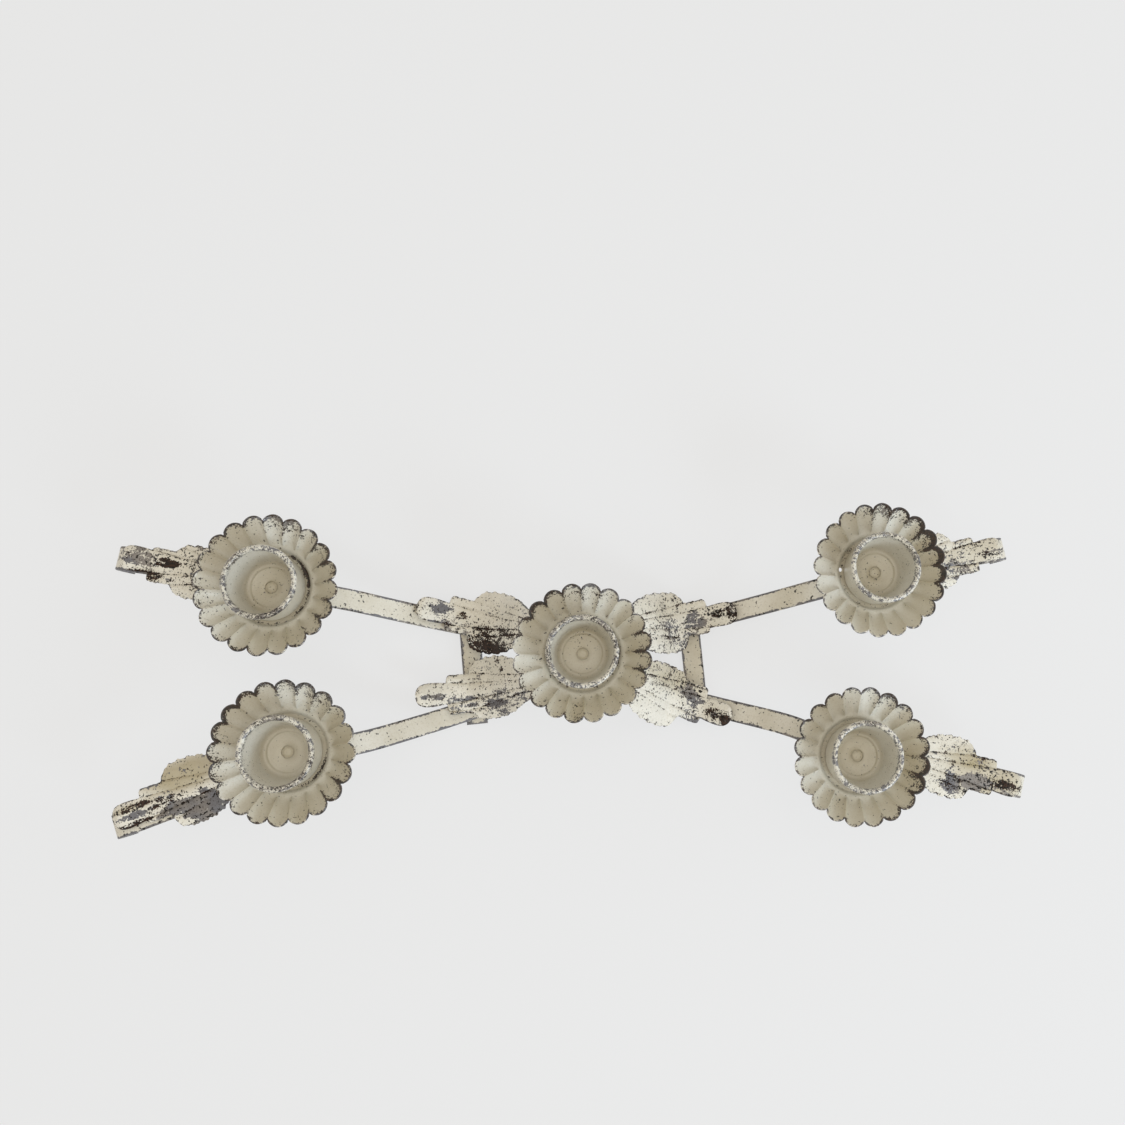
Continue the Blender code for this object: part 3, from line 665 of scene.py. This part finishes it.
LEAVES = {
    "back_left_centre_leaf": (
        LeafShape(0.0025, radians(-2.0), 0.1010, (1.0, 0.9), (1.0, 1.0), (0.2, 1.0)), (
        Patch(12, 2, 8, 2.6, 0.34, 0, 0), Patch(16, -7.5, 5, 2.4, 0.28, 0.15, 0.3),
        Patch(26, 0.5, 3, 2.6, 0.1, 0.30, 0.3), Patch(47, -15.5, 18, 4.6, 0.1, 0.66, 0),
        Patch(50, -6, 15, 4.5, 0.08, 0.36, 0), Patch(40, 9, 22, 9, -0.1, -0.05, 0.12))),
    "front_left_centre_leaf": (
        LeafShape(0.0025, radians(-12.5), 0.1000, (0.95, 1.15), (1.0, 0.95), (0.3, 0.4)), (
        Patch(10, -1.5, 8, 2.2, 0.30, 0, 0), Patch(19, -12, 6, 4.5, 0.2, 0.15, 0.5),
        Patch(28, -4, 10, 2.0, 0.25, 0, 0), Patch(50, -6, 16, 4.0, 0.22, 0.06, 0),
        Patch(46, -11, 16, 4.4, 0.22, 0.06, 0), Patch(45, 12, 22, 9, -0.1, -0.05, 0.20),
        Patch(33, 17, 2.6, 1.8, 0, 0.5, 0), Patch(52, 15.5, 2.2, 1.4, 0, 0.5, 0),
        Patch(53.5, 10, 1.4, 1.4, 0, 0.6, 0))),
    "back_right_centre_leaf": (
        LeafShape(0.0030, radians(-3.0), 0.0960, (1.0, 0.85), (1.0, 1.0), (0.3, 0.3)), (
        Patch(3, 1, 4, 6.5, 0.1, 0.42, 0), Patch(11.5, 1, 3, 2.8, 0.2, 0.38, 0),
        Patch(24, 0, 9, 5.0, 0.28, 0, 0), Patch(40, -7, 14, 8.5, 0.22, 0.05, 0),
        Patch(44, 10, 20, 8, -0.05, 0.05, 0.25), Patch(36, -16, 4, 3, 0.3, 0.2, 0))),
    "front_right_centre_leaf": (
        LeafShape(0.0012, radians(-5.0), 0.0900, (1.1, 0.9), (0.9, 1.05), (0.2, 0.9)), (
        Patch(2, -3, 3, 3, 0.1, 0.6, 0), Patch(9, -1, 7, 3.4, 0.1, 0.40, 0.3),
        Patch(32, 6, 5.5, 5, 0.34, 0.1, 0), Patch(25, 3.5, 5, 4.5, 0.34, 0.1, 0),
        Patch(20, -9, 5, 2.4, 0.36, 0, 0), Patch(44, 11, 20, 7, 0, 0.12, 0.5),
        Patch(46, -11, 16, 8, -0.14, -0.1, -0.1))),
    "back_left_end_leaf": (
        LeafShape(0.0015, radians(-0.5), 0.2638, (0.7, 1.0), (0.7, 0.9), (0.2, 0.6)), (
        Patch(10, 0.5, 13, 4.4, 0.36, 0, 0.05), Patch(28, 0.5, 7, 2.6, 0, 0.75, 0),
        Patch(17, -8, 9, 3.0, 0, 0.45, 0.4), Patch(44, -4, 12, 9, 0.08, 0.15, 0.1))),
    "front_left_end_leaf": (
        LeafShape(0.0030, radians(2.0), 0.2580, (0.95, 0.7), (1.0, 0.95), (0.2, 0.5)), (
        Patch(12, 2.8, 11, 1.9, 0, 0.5, 0.6), Patch(12, -1.5, 10, 1.8, 0.34, 0, 0),
        # The next patch is a painted shadow: a thin dark line, painted as rust, along the front edge of the
        # nose where the leaf meets the bar
        Patch(10, -5.6, 13, 1.2, 0, 0.45, 0), Patch(30, 0, 8, 3, 0.1, 0.38, 0),
        Patch(50, -11, 13, 8.5, 0.55, 0, 0), Patch(33, -6, 9, 3.6, 0.42, 0, 0),
        Patch(45, 10, 20, 8, -0.1, -0.05, 0.8))),
    "back_right_end_leaf": (
        LeafShape(0.0, 0.0, 0.2568, (0.85, 1.0), (0.9, 0.9), (0.2, 0.4)), (
        Patch(8, -2.5, 9, 2.2, 0.26, 0.20, 0), Patch(22, 5.5, 9, 1.2, 0, 0.35, 0),
        Patch(38, -6, 14, 8, 0.27, 0.02, 0.1), Patch(52, -13, 9, 5, 0.32, 0.06, 0),
        Patch(20, 0, 22, 9, 0.05, 0, 0.26))),
    "front_right_end_leaf": (
        LeafShape(0.0030, 0.0, 0.2592, (1.0, 0.8), (1.0, 0.9), (0.2, 0.4)), (
        Patch(11, -1.5, 9, 3.0, 0.1, 0.52, 0.1), Patch(28, -4, 10, 4.2, 0.44, 0, 0),
        Patch(24, 0, 28, 12, 0.09, 0.04, 0.42),
        Patch(41, -9, 11, 5, 0.30, 0.12, 0), Patch(38, 9, 14, 6, -0.08, 0.06, 0.45))),
}


def leaf_half_width(shape, along_mm, back):
    """Half width of one side of a leaf at a distance from its nose, in mm."""
    side = 0 if back else 1
    width = along_table(LEAF_OUTLINE_MM, along_mm)
    tab = smooth_step(along_mm, 17.7, 18.1) * (1 - smooth_step(along_mm, 31.0, 34.0))
    lobe = smooth_step(along_mm, 31.0, 34.0) * (1 - smooth_step(along_mm, 64.0, 74.0))
    width *= 1 + (shape.tabs[side] - 1) * tab + (shape.lobes[side] - 1) * lobe
    ripple = 0.35 * sin(along_mm * 1.05 + 2.1 * side) + 0.25 * sin(along_mm * 2.3 + 4 * shape.nose_x / 0.01)
    return width + ripple * (0.35 * tab + lobe) * (1 - smooth_step(along_mm, 60.0, 66.0))


def crease_lines(half_width, along_mm):
    """Half widths of the middle finger and of the tab fingers, which meet near the tail, in mm."""
    first = 6.7 + (1.4 - 6.7) * max(along_mm - NOSE_END_MM, 0.0) / (TAIL_MM - NOSE_END_MM)
    second = 11.2 + (3.4 - 11.2) * max(along_mm - TAB_END_MM, 0.0) / (TAIL_MM - TAB_END_MM)
    return min(max(first, 1.2), half_width), min(max(second, 3.0), half_width)


def leaf_relief(shape, leaves, along_mm, aside_mm, half_width):
    """Height of the stamped relief over the plain sheet, and how deep in a crease the point is."""
    side = 0 if aside_mm > 0 else 1
    away = abs(aside_mm)
    first, second = crease_lines(half_width, along_mm)
    if away <= first:
        pillow = 1 - (away / first) ** 2
    elif away <= second:
        q = (away - first) / max(second - first, 0.1)
        pillow = 0.85 * (4 * q * (1 - q)) ** 0.7
    else:
        q = (away - second) / max(half_width - second, 0.1)
        pillow = 0.95 * sin(min(q * 1.25, 1.0) * pi / 2) ** 0.8 * (1 - 0.35 * q)
    grown = smooth_step(along_mm, 13.0, 22.0) * (1 - smooth_step(along_mm, 66.0, 76.0))
    fan = aside_mm / (TAIL_MM + 8 - along_mm) if along_mm < TAIL_MM else 0.0
    veins = 0.00013 * cos(fan * 95) * grown * smooth_step(away, 1.5, 5.0)
    near = min(abs(away - first), abs(away - second))
    crease = grown * exp(-(near / 0.55) ** 2) * (away < half_width - 0.8)
    bend = smooth_step(away, 12.0, 19.5)
    drop = leaves.droop * bend * (0.6 + shape.curls[side])
    return grown * leaves.pillow * (pillow - 0.25) + veins - 0.0002 * crease - drop, crease


def patch_marks(patches, along_mm, aside_mm):
    """How much bare iron, rust and yellowing the worn patches, and the one painted shadow, add at a point of
    a leaf.
    """
    bare = rust = shade = 0.0
    for patch in patches:
        far = hypot((along_mm - patch.along) / patch.length, (aside_mm - patch.aside) / patch.width)
        amount = 1 - smooth_step(far, 0.55, 1.5)
        bare += patch.bare * amount
        rust += patch.rust * amount
        shade += patch.shade * amount
    return bare, rust, shade


def make_leaf(node, leaves, material):
    """One stamped leaf, laid over its arm at its rivet."""
    shape, patches = LEAVES[node]
    arm = ARMS[node.replace("_centre_leaf", "").replace("_end_leaf", "")]
    over_foot = "centre" in node
    rivet_x = CENTRE_RIVET_X if over_foot else arm.crest_x + OUTER_RIVET_PAST_CREST
    outward = Matrix.Rotation(shape.turn, 3, "Z") @ Vector((arm.side, arm.row * arm.slope, 0.0)).normalized()
    back = Vector((-outward.y, outward.x, 0.0)) * arm.side
    pivot = arm_point(arm, rivet_x, 0.0) + arm_across(arm, rivet_x) * shape.shift
    reach = (shape.nose_x - rivet_x) / abs(outward.x)
    whole_mm = min(LEAF_OUTLINE_MM[-1][0], reach * 1000 + 9.5)
    columns = round(whole_mm / 0.5)

    def place(u, v):
        along_mm = u * whole_mm
        side = 2 * v - 1
        half_width = leaf_half_width(shape, along_mm, side > 0)
        aside_mm = side * half_width
        point = pivot + outward * (reach - along_mm / 1000) + back * aside_mm / 1000
        height, slope = arm_height(arm, station_beside(arm, point))
        relief, crease = leaf_relief(shape, leaves, along_mm, aside_mm, half_width)
        near_nose = (1 - smooth_step(along_mm, 6.0, 20.0)) * smooth_step(along_mm, -4.0, 4.5)
        hood = leaves.hood * near_nose * sqrt(1 - side * side * 0.96)
        dip = 0.0011 * (1 - smooth_step(along_mm, 0.0, 4.0))
        rise = 0.0020 * smooth_step(station_beside(arm, point), 0.046, 0.060) if over_foot else 0.0
        clear = (BAR_THICKNESS / 2 + LEAF_GAP + leaves.sheet / 2) * hypot(1.0, slope)
        point.z = height + clear + rise + hood - dip + relief
        point.z += 0.00025 * noise.noise(point * 210)
        bare, rust, shade = patch_marks(patches, along_mm, aside_mm)
        edge = smooth_step(abs(side) * half_width, half_width - 1.1, half_width - 0.1)
        edge = max(edge, 1 - smooth_step(along_mm, 0.0, 1.4))
        return Spot(point, 0.14 + bare + 0.24 * edge, 0.12 + rust + 0.24 * edge + 0.42 * crease,
                    0.02 + shade, Vector((along_mm / 1000, aside_mm / 1000, 0.0)))

    bm = mapped_grid(columns, 46, place)
    piece = new_piece(node + "_stamped", bm, material, node, radians(60))
    add_sheet(piece, leaves.sheet, 0.0003)
    return piece


# ---- Finishes ----

# Settings that many nodes share
ADD_SHARE = {"operation": "MULTIPLY_ADD"}
SMOOTH = {"interpolation_type": "SMOOTHSTEP"}
COLOURS = {"data_type": "RGBA"}


def fill_inputs(tree, node, inputs):
    """Fill a node's inputs.

    An input given as a node is linked from that node's first output, one given as a socket is linked, and
    anything else is set as a value."""
    for name, value in inputs.items():
        socket = node.inputs[name]
        if isinstance(value, bpy.types.Node):
            value = next(output for output in value.outputs if output.enabled)
        if isinstance(value, bpy.types.NodeSocket):
            tree.links.new(value, socket)
        elif socket.type == "RGBA":
            socket.default_value = (*value, 1.0)
        else:
            socket.default_value = value


def add_node(tree, kind, settings, inputs):
    """Add a node, set its options and fill its inputs."""
    node = tree.nodes.new(kind)
    for name, value in settings.items():
        setattr(node, name, value)
    fill_inputs(tree, node, inputs)
    return node


def new_material(name):
    material = bpy.data.materials.new(name)
    material.use_nodes = True
    tree = material.node_tree
    shader = tree.nodes["Principled BSDF"]
    return material, tree, shader


# How one kind of piece wears: its clean paint, how readily it chips and rusts, how thick its specks are,
# how far chips follow the piece's length, the paint's roughness, its gloss, and the size of its chips next
# to the ones on the leaves
Finish = namedtuple("Finish", "cream bare rust specks streaks roughness gloss grain")
PAN_CREAM = "DFDDD5"
SCREW_CREAM = "C3BBA7"


def chipped_paint(name, paint, finish):
    """Brushed house paint over primer on iron, chipped, yellowed and rust-specked by age.

    It gives the eye pale paint with sharp-edged grey and brown losses that sit a little lower."""
    material, tree, shader = new_material(name)
    place = add_node(tree, "ShaderNodeTexCoord", {}, {}).outputs["Object"]
    bare, rust, shade, flow = (
        add_node(tree, "ShaderNodeAttribute", {"attribute_name": key}, {}).outputs[output]
        for key, output in (("bare", "Fac"), ("rust", "Fac"), ("shade", "Fac"), ("flow", "Vector")))
    drawn = add_node(tree, "ShaderNodeVectorMath", {"operation": "MULTIPLY"}, {0: flow, 1: (0.30, 1.0, 1.0)})
    apart = add_node(tree, "ShaderNodeVectorMath", {"operation": "ADD"}, {0: place, 1: (3.1, 1.7, 0.4)})

    # Noises whose blotches are about as wide as the real marks
    per_patch = 1 / (paint.patch_size * finish.grain)
    per_chip = 1 / (paint.chip_size * finish.grain)
    per_speck = 1 / (paint.speck_size * sqrt(finish.grain))
    patch, blotch, chip, chip_two, fine, fine_two, dots, streak = (
        add_node(tree, "ShaderNodeTexNoise", {}, {
            "Vector": vector, "Scale": scale, "Detail": detail, "Roughness": roughness})
        for vector, scale, detail, roughness in (
            (place, per_patch, 2.0, 0.55),
            (apart, 0.45 / paint.patch_size, 2.0, 0.55),
            (place, per_chip, 4.0, 0.62),
            (apart, 0.87 * per_chip, 3.0, 0.60),
            (place, per_speck, 2.0, 0.55),
            (apart, 1.3 * per_speck, 1.0, 0.55),
            (apart, 0.66 * per_speck, 1.5, 0.50),
            (drawn, 1.25 * per_chip, 3.0, 0.60)))

    # Sums of the patterns, each on its own start. Where one is over zero, the paint is torn off, rusted
    # through or specked: patches and wear decide where, and chips, streaks and dots give the outline
    sums = []
    for total, *parts in (
            (0.05 * finish.bare - 0.655, (bare, 0.27), (chip, 0.50 - 0.30 * finish.streaks),
             (streak, 0.30 * finish.streaks), (patch, 0.26), (fine, 0.24)),
            (0.05 * finish.rust - 0.670, (rust, 0.27), (chip_two, 0.40), (fine_two, 0.36),
             (streak, 0.24 * finish.streaks), (blotch, 0.24 - 0.24 * finish.streaks)),
            (0.05 * finish.specks - 0.812, (blotch, 0.20), (bare, 0.08), (rust, 0.09), (dots, 1.0))):
        for part, weight in parts:
            total = add_node(tree, "ShaderNodeMath", ADD_SHARE, {0: part, 1: weight, 2: total})
        sums.append(total)
    torn, rotten, crowded = sums
    # Edges of the losses, then dirt in the paint, primer on the iron, freckles on it and burnt rust
    lost, rusted, speck, dirt, primed, freckled, burnt = (
        add_node(tree, "ShaderNodeMapRange", SMOOTH, {
            "Value": value, "From Min": low, "From Max": high, "To Max": most})
        for value, low, high, most in (
            (torn, -0.010, 0.010, 1.0),
            (rotten, -0.013, 0.013, 1.0),
            (crowded, -0.020, 0.020, 1.0),
            (fine, 0.46, 0.68, 0.20),
            (blotch, 0.50, 0.62, 1.0),
            (fine_two, 0.50, 0.66, 0.30),
            (fine, 0.42, 0.62, 1.0)))

    # Paint yellowed in slow clouds and by the shade value, which on the pans also carries painted shade; grey
    # iron and primer; and dark rust, laid over each other
    clouds = add_node(tree, "ShaderNodeMath", ADD_SHARE, {0: blotch, 1: 0.7, 2: -0.35})
    aged = add_node(tree, "ShaderNodeMath", {"operation": "ADD", "use_clamp": True}, {0: shade, 1: clouds})
    coat = add_node(tree, "ShaderNodeMix", COLOURS, {0: aged, 6: finish.cream, 7: paint.khaki})
    coat = add_node(tree, "ShaderNodeMix", COLOURS, {0: dirt, 6: coat, 7: paint.khaki})
    iron = add_node(tree, "ShaderNodeMix", COLOURS, {0: primed, 6: paint.lead, 7: paint.mauve})
    iron = add_node(tree, "ShaderNodeMix", COLOURS, {0: freckled, 6: iron, 7: paint.rust})
    brown = add_node(tree, "ShaderNodeMix", COLOURS, {0: burnt, 6: paint.rust, 7: paint.soot})
    surface = coat
    for cover, layer in ((lost, iron), (rusted, brown), (speck, paint.soot)):
        surface = add_node(tree, "ShaderNodeMix", COLOURS, {0: cover, 6: surface, 7: layer})

    # Rust is duller than paint, and the grain of the paint roughens it a little
    dull = finish.roughness - 0.08
    for part, weight in ((fine, 0.16), (lost, 0.06), (rusted, 0.30)):
        dull = add_node(tree, "ShaderNodeMath", ADD_SHARE, {0: part, 1: weight, 2: dull})
    metal = add_node(tree, "ShaderNodeMath", {"operation": "MULTIPLY"}, {0: lost, 1: 0.30})

    # Chips lie below the paint, rust a little below it, and the paint itself is uneven
    height = 0.0
    for part, weight in ((lost, -0.50), (rusted, -0.30), (chip, 0.35), (fine, 0.22)):
        height = add_node(tree, "ShaderNodeMath", ADD_SHARE, {0: part, 1: weight, 2: height})
    bump = add_node(tree, "ShaderNodeBump", {}, {"Strength": 0.9, "Distance": 0.00022, "Height": height})
    fill_inputs(tree, shader, {
        "Base Color": surface, "Roughness": dull, "Metallic": metal, "Normal": bump,
        "Coat Weight": finish.gloss, "Coat Roughness": 0.30, "Coat IOR": 1.7})
    return material


def rusted_steel(paint):
    """Plain steel nuts, washers and rivets, painted once and rusted since.

    They give the eye dark brown pitted metal with grey on the rubbed high spots."""
    material, tree, shader = new_material("rusted steel")
    place = add_node(tree, "ShaderNodeTexCoord", {}, {}).outputs["Object"]
    pits = add_node(tree, "ShaderNodeTexNoise", {}, {
        "Vector": place, "Scale": 1 / paint.speck_size, "Detail": 4.0, "Roughness": 0.6})
    ramp = add_node(tree, "ShaderNodeValToRGB", {}, {"Fac": pits})
    stops = ramp.color_ramp.elements
    stops[0].position, stops[1].position = 0.38, 0.66
    stops.new(0.52)
    for stop, tint in zip(stops, (paint.soot, paint.rust, paint.lead)):
        stop.color = (*tint, 1.0)
    rough = add_node(tree, "ShaderNodeMapRange", {}, {"Value": pits, "To Min": 0.85, "To Max": 0.45})
    bump = add_node(tree, "ShaderNodeBump", {}, {"Strength": 0.8, "Distance": 0.0002, "Height": pits})
    fill_inputs(tree, shader, {"Base Color": ramp, "Roughness": rough, "Metallic": 0.6, "Normal": bump})
    return material


# ---- Operators ----

class CANDELABRA_OT_bars(bpy.types.Operator):
    """Build the two long bars, the foot strips, the bridge plates and the collars"""
    bl_idname = "candelabra.bars"
    bl_label = "Bars and strips"

    def execute(self, context):
        bars = context.scene.candelabra_bars
        paint = context.scene.candelabra_paint
        finish = Finish(paint.cream, 0.3, 0.2, 0.2, 0.5, 0.50, 0.15, 1.0)
        material = chipped_paint("chipped painted iron bar", paint, finish)
        for row, left, right in (("back", "back_left", "back_right"), ("front", "front_left", "front_right")):
            self.make_bar(row + "_bar", ARMS[left], ARMS[right], bars, material)
        for side in ("left", "right"):
            self.make_strip(side + "_foot_strip", FOOT_TURN, BAR_WIDTH, STRIP_SPAN, bars, material)
        for side in ("top", "bottom"):
            self.make_strip(side + "_bridge_plate", 0.0, PLATE_WIDTH, PLATE_SPAN, bars, material)
        for name in PLACES:
            make_collar(name, material)
        return {"FINISHED"}

    def make_bar(self, node, left, right, bars, material):
        stations = list(reversed(arm_stations(left)[1:])) + arm_stations(right)
        path = []
        for point, across in stations:
            arm = left if point.x < STEM.x else right
            away = abs(point.x - STEM.x)
            flare = 1 + TIP_FLARE * smooth_step(away, arm.tip_x - 0.035, arm.tip_x - 0.010)
            path.append((point, across, flare))

        def wear_at(point, aside, high):
            patch = noise.noise(point * 45)
            side = smooth_step(abs(aside), 0.0040, 0.0062)
            bare = (0.20 + 0.25 * side) * max(patch, 0.0)
            return bare, 0.10 + 0.12 * side, 0.20 - 0.25 * patch

        bm = swept_bar(path, BAR_WIDTH, BAR_THICKNESS, bars.edge, bars.wobble, wear_at)
        new_piece(node + "_worn", bm, material, node)

    def make_strip(self, node, turn, width, span, bars, material):
        low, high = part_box(node)
        along = Matrix.Rotation(turn, 3, "Z") @ Vector((0, 1, 0))
        across = Vector((-along.y, along.x, 0.0))
        path = [(middle(node) + along * span * (i / 32 - 0.5), across, 1.0) for i in range(33)]
        bm = swept_bar(path, width, high.z - low.z, bars.edge, 0.0,
                       lambda point, aside, up: (0.10, 0.10, 0.42))
        new_piece(node + "_worn", bm, material, node)


class CANDELABRA_OT_pans(bpy.types.Operator):
    """Build the five fluted drip pans"""
    bl_idname = "candelabra.pans"
    bl_label = "Drip pans"

    def execute(self, context):
        paint = context.scene.candelabra_paint
        finish = Finish(linear(PAN_CREAM), 0.2, 0.5, 0.0, 0.0, 0.38, 0.6, 0.8)
        material = chipped_paint("aged painted tinplate pan", paint, finish)
        for name in PLACES:
            turn = ARM_SHAPES[name].flute_turn if name in ARM_SHAPES else CENTRE_FLUTE_TURN
            make_pan(name, context.scene.candelabra_pans, material, turn)
        return {"FINISHED"}


class CANDELABRA_OT_cups(bpy.types.Operator):
    """Build the five candle cups"""
    bl_idname = "candelabra.cups"
    bl_label = "Candle cups"

    def execute(self, context):
        paint = context.scene.candelabra_paint
        finish = Finish(linear(PAN_CREAM), 0.5, 0.5, 0.0, 0.0, 0.38, 0.6, 0.5)
        material = chipped_paint("aged painted tinplate cup", paint, finish)
        for name, seam in zip(PLACES, CUP_SEAMS):
            make_cup(name, context.scene.candelabra_cups, material, seam)
        return {"FINISHED"}


class CANDELABRA_OT_leaves(bpy.types.Operator):
    """Build the eight stamped leaves"""
    bl_idname = "candelabra.leaves"
    bl_label = "Leaves"

    def execute(self, context):
        paint = context.scene.candelabra_paint
        finish = Finish(paint.cream, 1.0, 0.8, 0.6, 1.0, 0.58, 0.05, 1.0)
        material = chipped_paint("chipped painted iron leaf", paint, finish)
        for node in LEAVES:
            make_leaf(node, context.scene.candelabra_leaves, material)
        return {"FINISHED"}


class CANDELABRA_OT_fasteners(bpy.types.Operator):
    """Give the screws their painted finish and the nuts, washers and rivets their rusted one"""
    bl_idname = "candelabra.fasteners"
    bl_label = "Fasteners"

    def execute(self, context):
        paint = context.scene.candelabra_paint
        steel = rusted_steel(paint)
        finish = Finish(linear(SCREW_CREAM), 0.3, 0.3, 0.0, 0.0, 0.45, 0.4, 0.5)
        painted = chipped_paint("aged painted screw", paint, finish)
        for name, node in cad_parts.items():
            if name.endswith(("_rivet", "_screw", "_washer", "_nut")):
                node.data.materials.clear()
                node.data.materials.append(painted if name.endswith("_screw") else steel)
        return {"FINISHED"}


class CANDELABRA_OT_stage(bpy.types.Operator):
    """Set up the floor, the lights and the camera"""
    bl_idname = "candelabra.stage"
    bl_label = "Stage"

    def execute(self, context):
        stage = context.scene.candelabra_stage
        self.make_floor(stage)
        self.make_lights(context.scene, stage)
        self.make_camera(context.scene)
        return {"FINISHED"}

    def make_floor(self, stage):
        """A large flat sheet of matt pale board."""
        bm = bmesh.new()
        bmesh.ops.create_grid(bm, x_segments=1, y_segments=1, size=9.0)
        bmesh.ops.translate(bm, verts=bm.verts, vec=(0.0, 0.0, -0.0002))
        mesh = bpy.data.meshes.new("floor")
        bm.to_mesh(mesh)
        bm.free()
        material, tree, shader = new_material("matt pale board")
        grain = add_node(tree, "ShaderNodeTexNoise", {}, {"Scale": 30.0, "Detail": 3.0})
        rough = add_node(tree, "ShaderNodeMapRange", {}, {
            "Value": grain, "To Min": 0.75, "To Max": 0.85})
        fill_inputs(tree, shader, {
            "Base Color": stage.floor, "Roughness": rough, "Specular IOR Level": 0.2,
            "Emission Color": (1.0, 1.0, 1.0), "Emission Strength": stage.glow})
        mesh.materials.append(material)
        floor = bpy.data.objects.new("floor", mesh)
        bpy.context.scene.collection.objects.link(floor)

    def make_lights(self, scene, stage):
        world = bpy.data.worlds.new("soft surround")
        world.use_nodes = True
        background = world.node_tree.nodes["Background"]
        background.inputs["Color"].default_value = (*stage.surround, 1.0)
        background.inputs["Strength"].default_value = stage.sky
        scene.world = world
        scene.view_settings.view_transform = "Standard"
        windows = (
            ("window", (1.33, -1.33, 1.22), (0.72, 0.72), stage.window_power, stage.daylight),
            ("side_window", (1.20, 0.22, 0.75), (0.8, 0.8), stage.side_power, stage.daylight),
            ("ceiling", (0.1, -0.1, 1.9), (1.8, 1.8), stage.ceiling_power, stage.surround),
        )
        for name, at, (wide, high), power, tint in windows:
            light = bpy.data.lights.new(name, "AREA")
            light.shape = "RECTANGLE"
            light.size = wide
            light.size_y = high
            light.energy = power
            light.color = tint
            lamp = bpy.data.objects.new(name, light)
            lamp.location = at
            lamp.rotation_euler = (Vector((0, 0, 0.05)) - lamp.location).to_track_quat("-Z", "Y").to_euler()
            scene.collection.objects.link(lamp)

    def make_camera(self, scene):
        """A camera nearly straight above, leaning a little to the back and to the right."""
        lens = bpy.data.cameras.new("camera")
        # The sensor's height sets this view. Its smaller width makes views from other sides step back far
        # enough to show both tips in spite of the sideways shift
        lens.sensor_fit = "VERTICAL"
        lens.sensor_height = 36.0
        lens.sensor_width = 29.0
        lens.lens = CAMERA_LENS
        lens.shift_x = CAMERA_SHIFT
        lens.clip_start = 0.01
        camera = bpy.data.objects.new("camera", lens)
        camera.location = Vector((STEM.x, STEM.y, 0.0)) + Vector(CAMERA_FROM_STEM)
        camera.rotation_euler = CAMERA_TURNS
        scene.collection.objects.link(camera)
        scene.camera = camera


class CANDELABRA_PT_panel(bpy.types.Panel):
    """Lists the candelabra's pieces and stage"""
    bl_label = "Candelabra"
    bl_idname = "CANDELABRA_PT_panel"
    bl_space_type = "VIEW_3D"
    bl_region_type = "UI"
    bl_category = "Candelabra"

    def draw(self, context):
        for operator in OPERATORS:
            self.layout.operator(operator.bl_idname)
        for name in GROUPS:
            group = getattr(context.scene, name)
            box = self.layout.box()
            for key in group.__annotations__:
                box.prop(group, key)


GROUPS = {
    "candelabra_paint": CandelabraPaint,
    "candelabra_pans": CandelabraPans,
    "candelabra_cups": CandelabraCups,
    "candelabra_leaves": CandelabraLeaves,
    "candelabra_bars": CandelabraBars,
    "candelabra_stage": CandelabraStage,
}
OPERATORS = (CANDELABRA_OT_bars, CANDELABRA_OT_pans, CANDELABRA_OT_cups, CANDELABRA_OT_leaves,
             CANDELABRA_OT_fasteners, CANDELABRA_OT_stage)
add_classes, remove_classes = bpy.utils.register_classes_factory(
    (*GROUPS.values(), *OPERATORS, CANDELABRA_PT_panel))


def register():
    add_classes()
    for name, group in GROUPS.items():
        setattr(bpy.types.Scene, name, PointerProperty(type=group))


def unregister():
    for name in GROUPS:
        delattr(bpy.types.Scene, name)
    remove_classes()


def main():
    register()
    bpy.ops.candelabra.bars()
    bpy.ops.candelabra.pans()
    bpy.ops.candelabra.cups()
    bpy.ops.candelabra.leaves()
    bpy.ops.candelabra.fasteners()
    bpy.ops.candelabra.stage()
    bpy.context.view_layer.update()


if __name__ == "__main__":
    main()
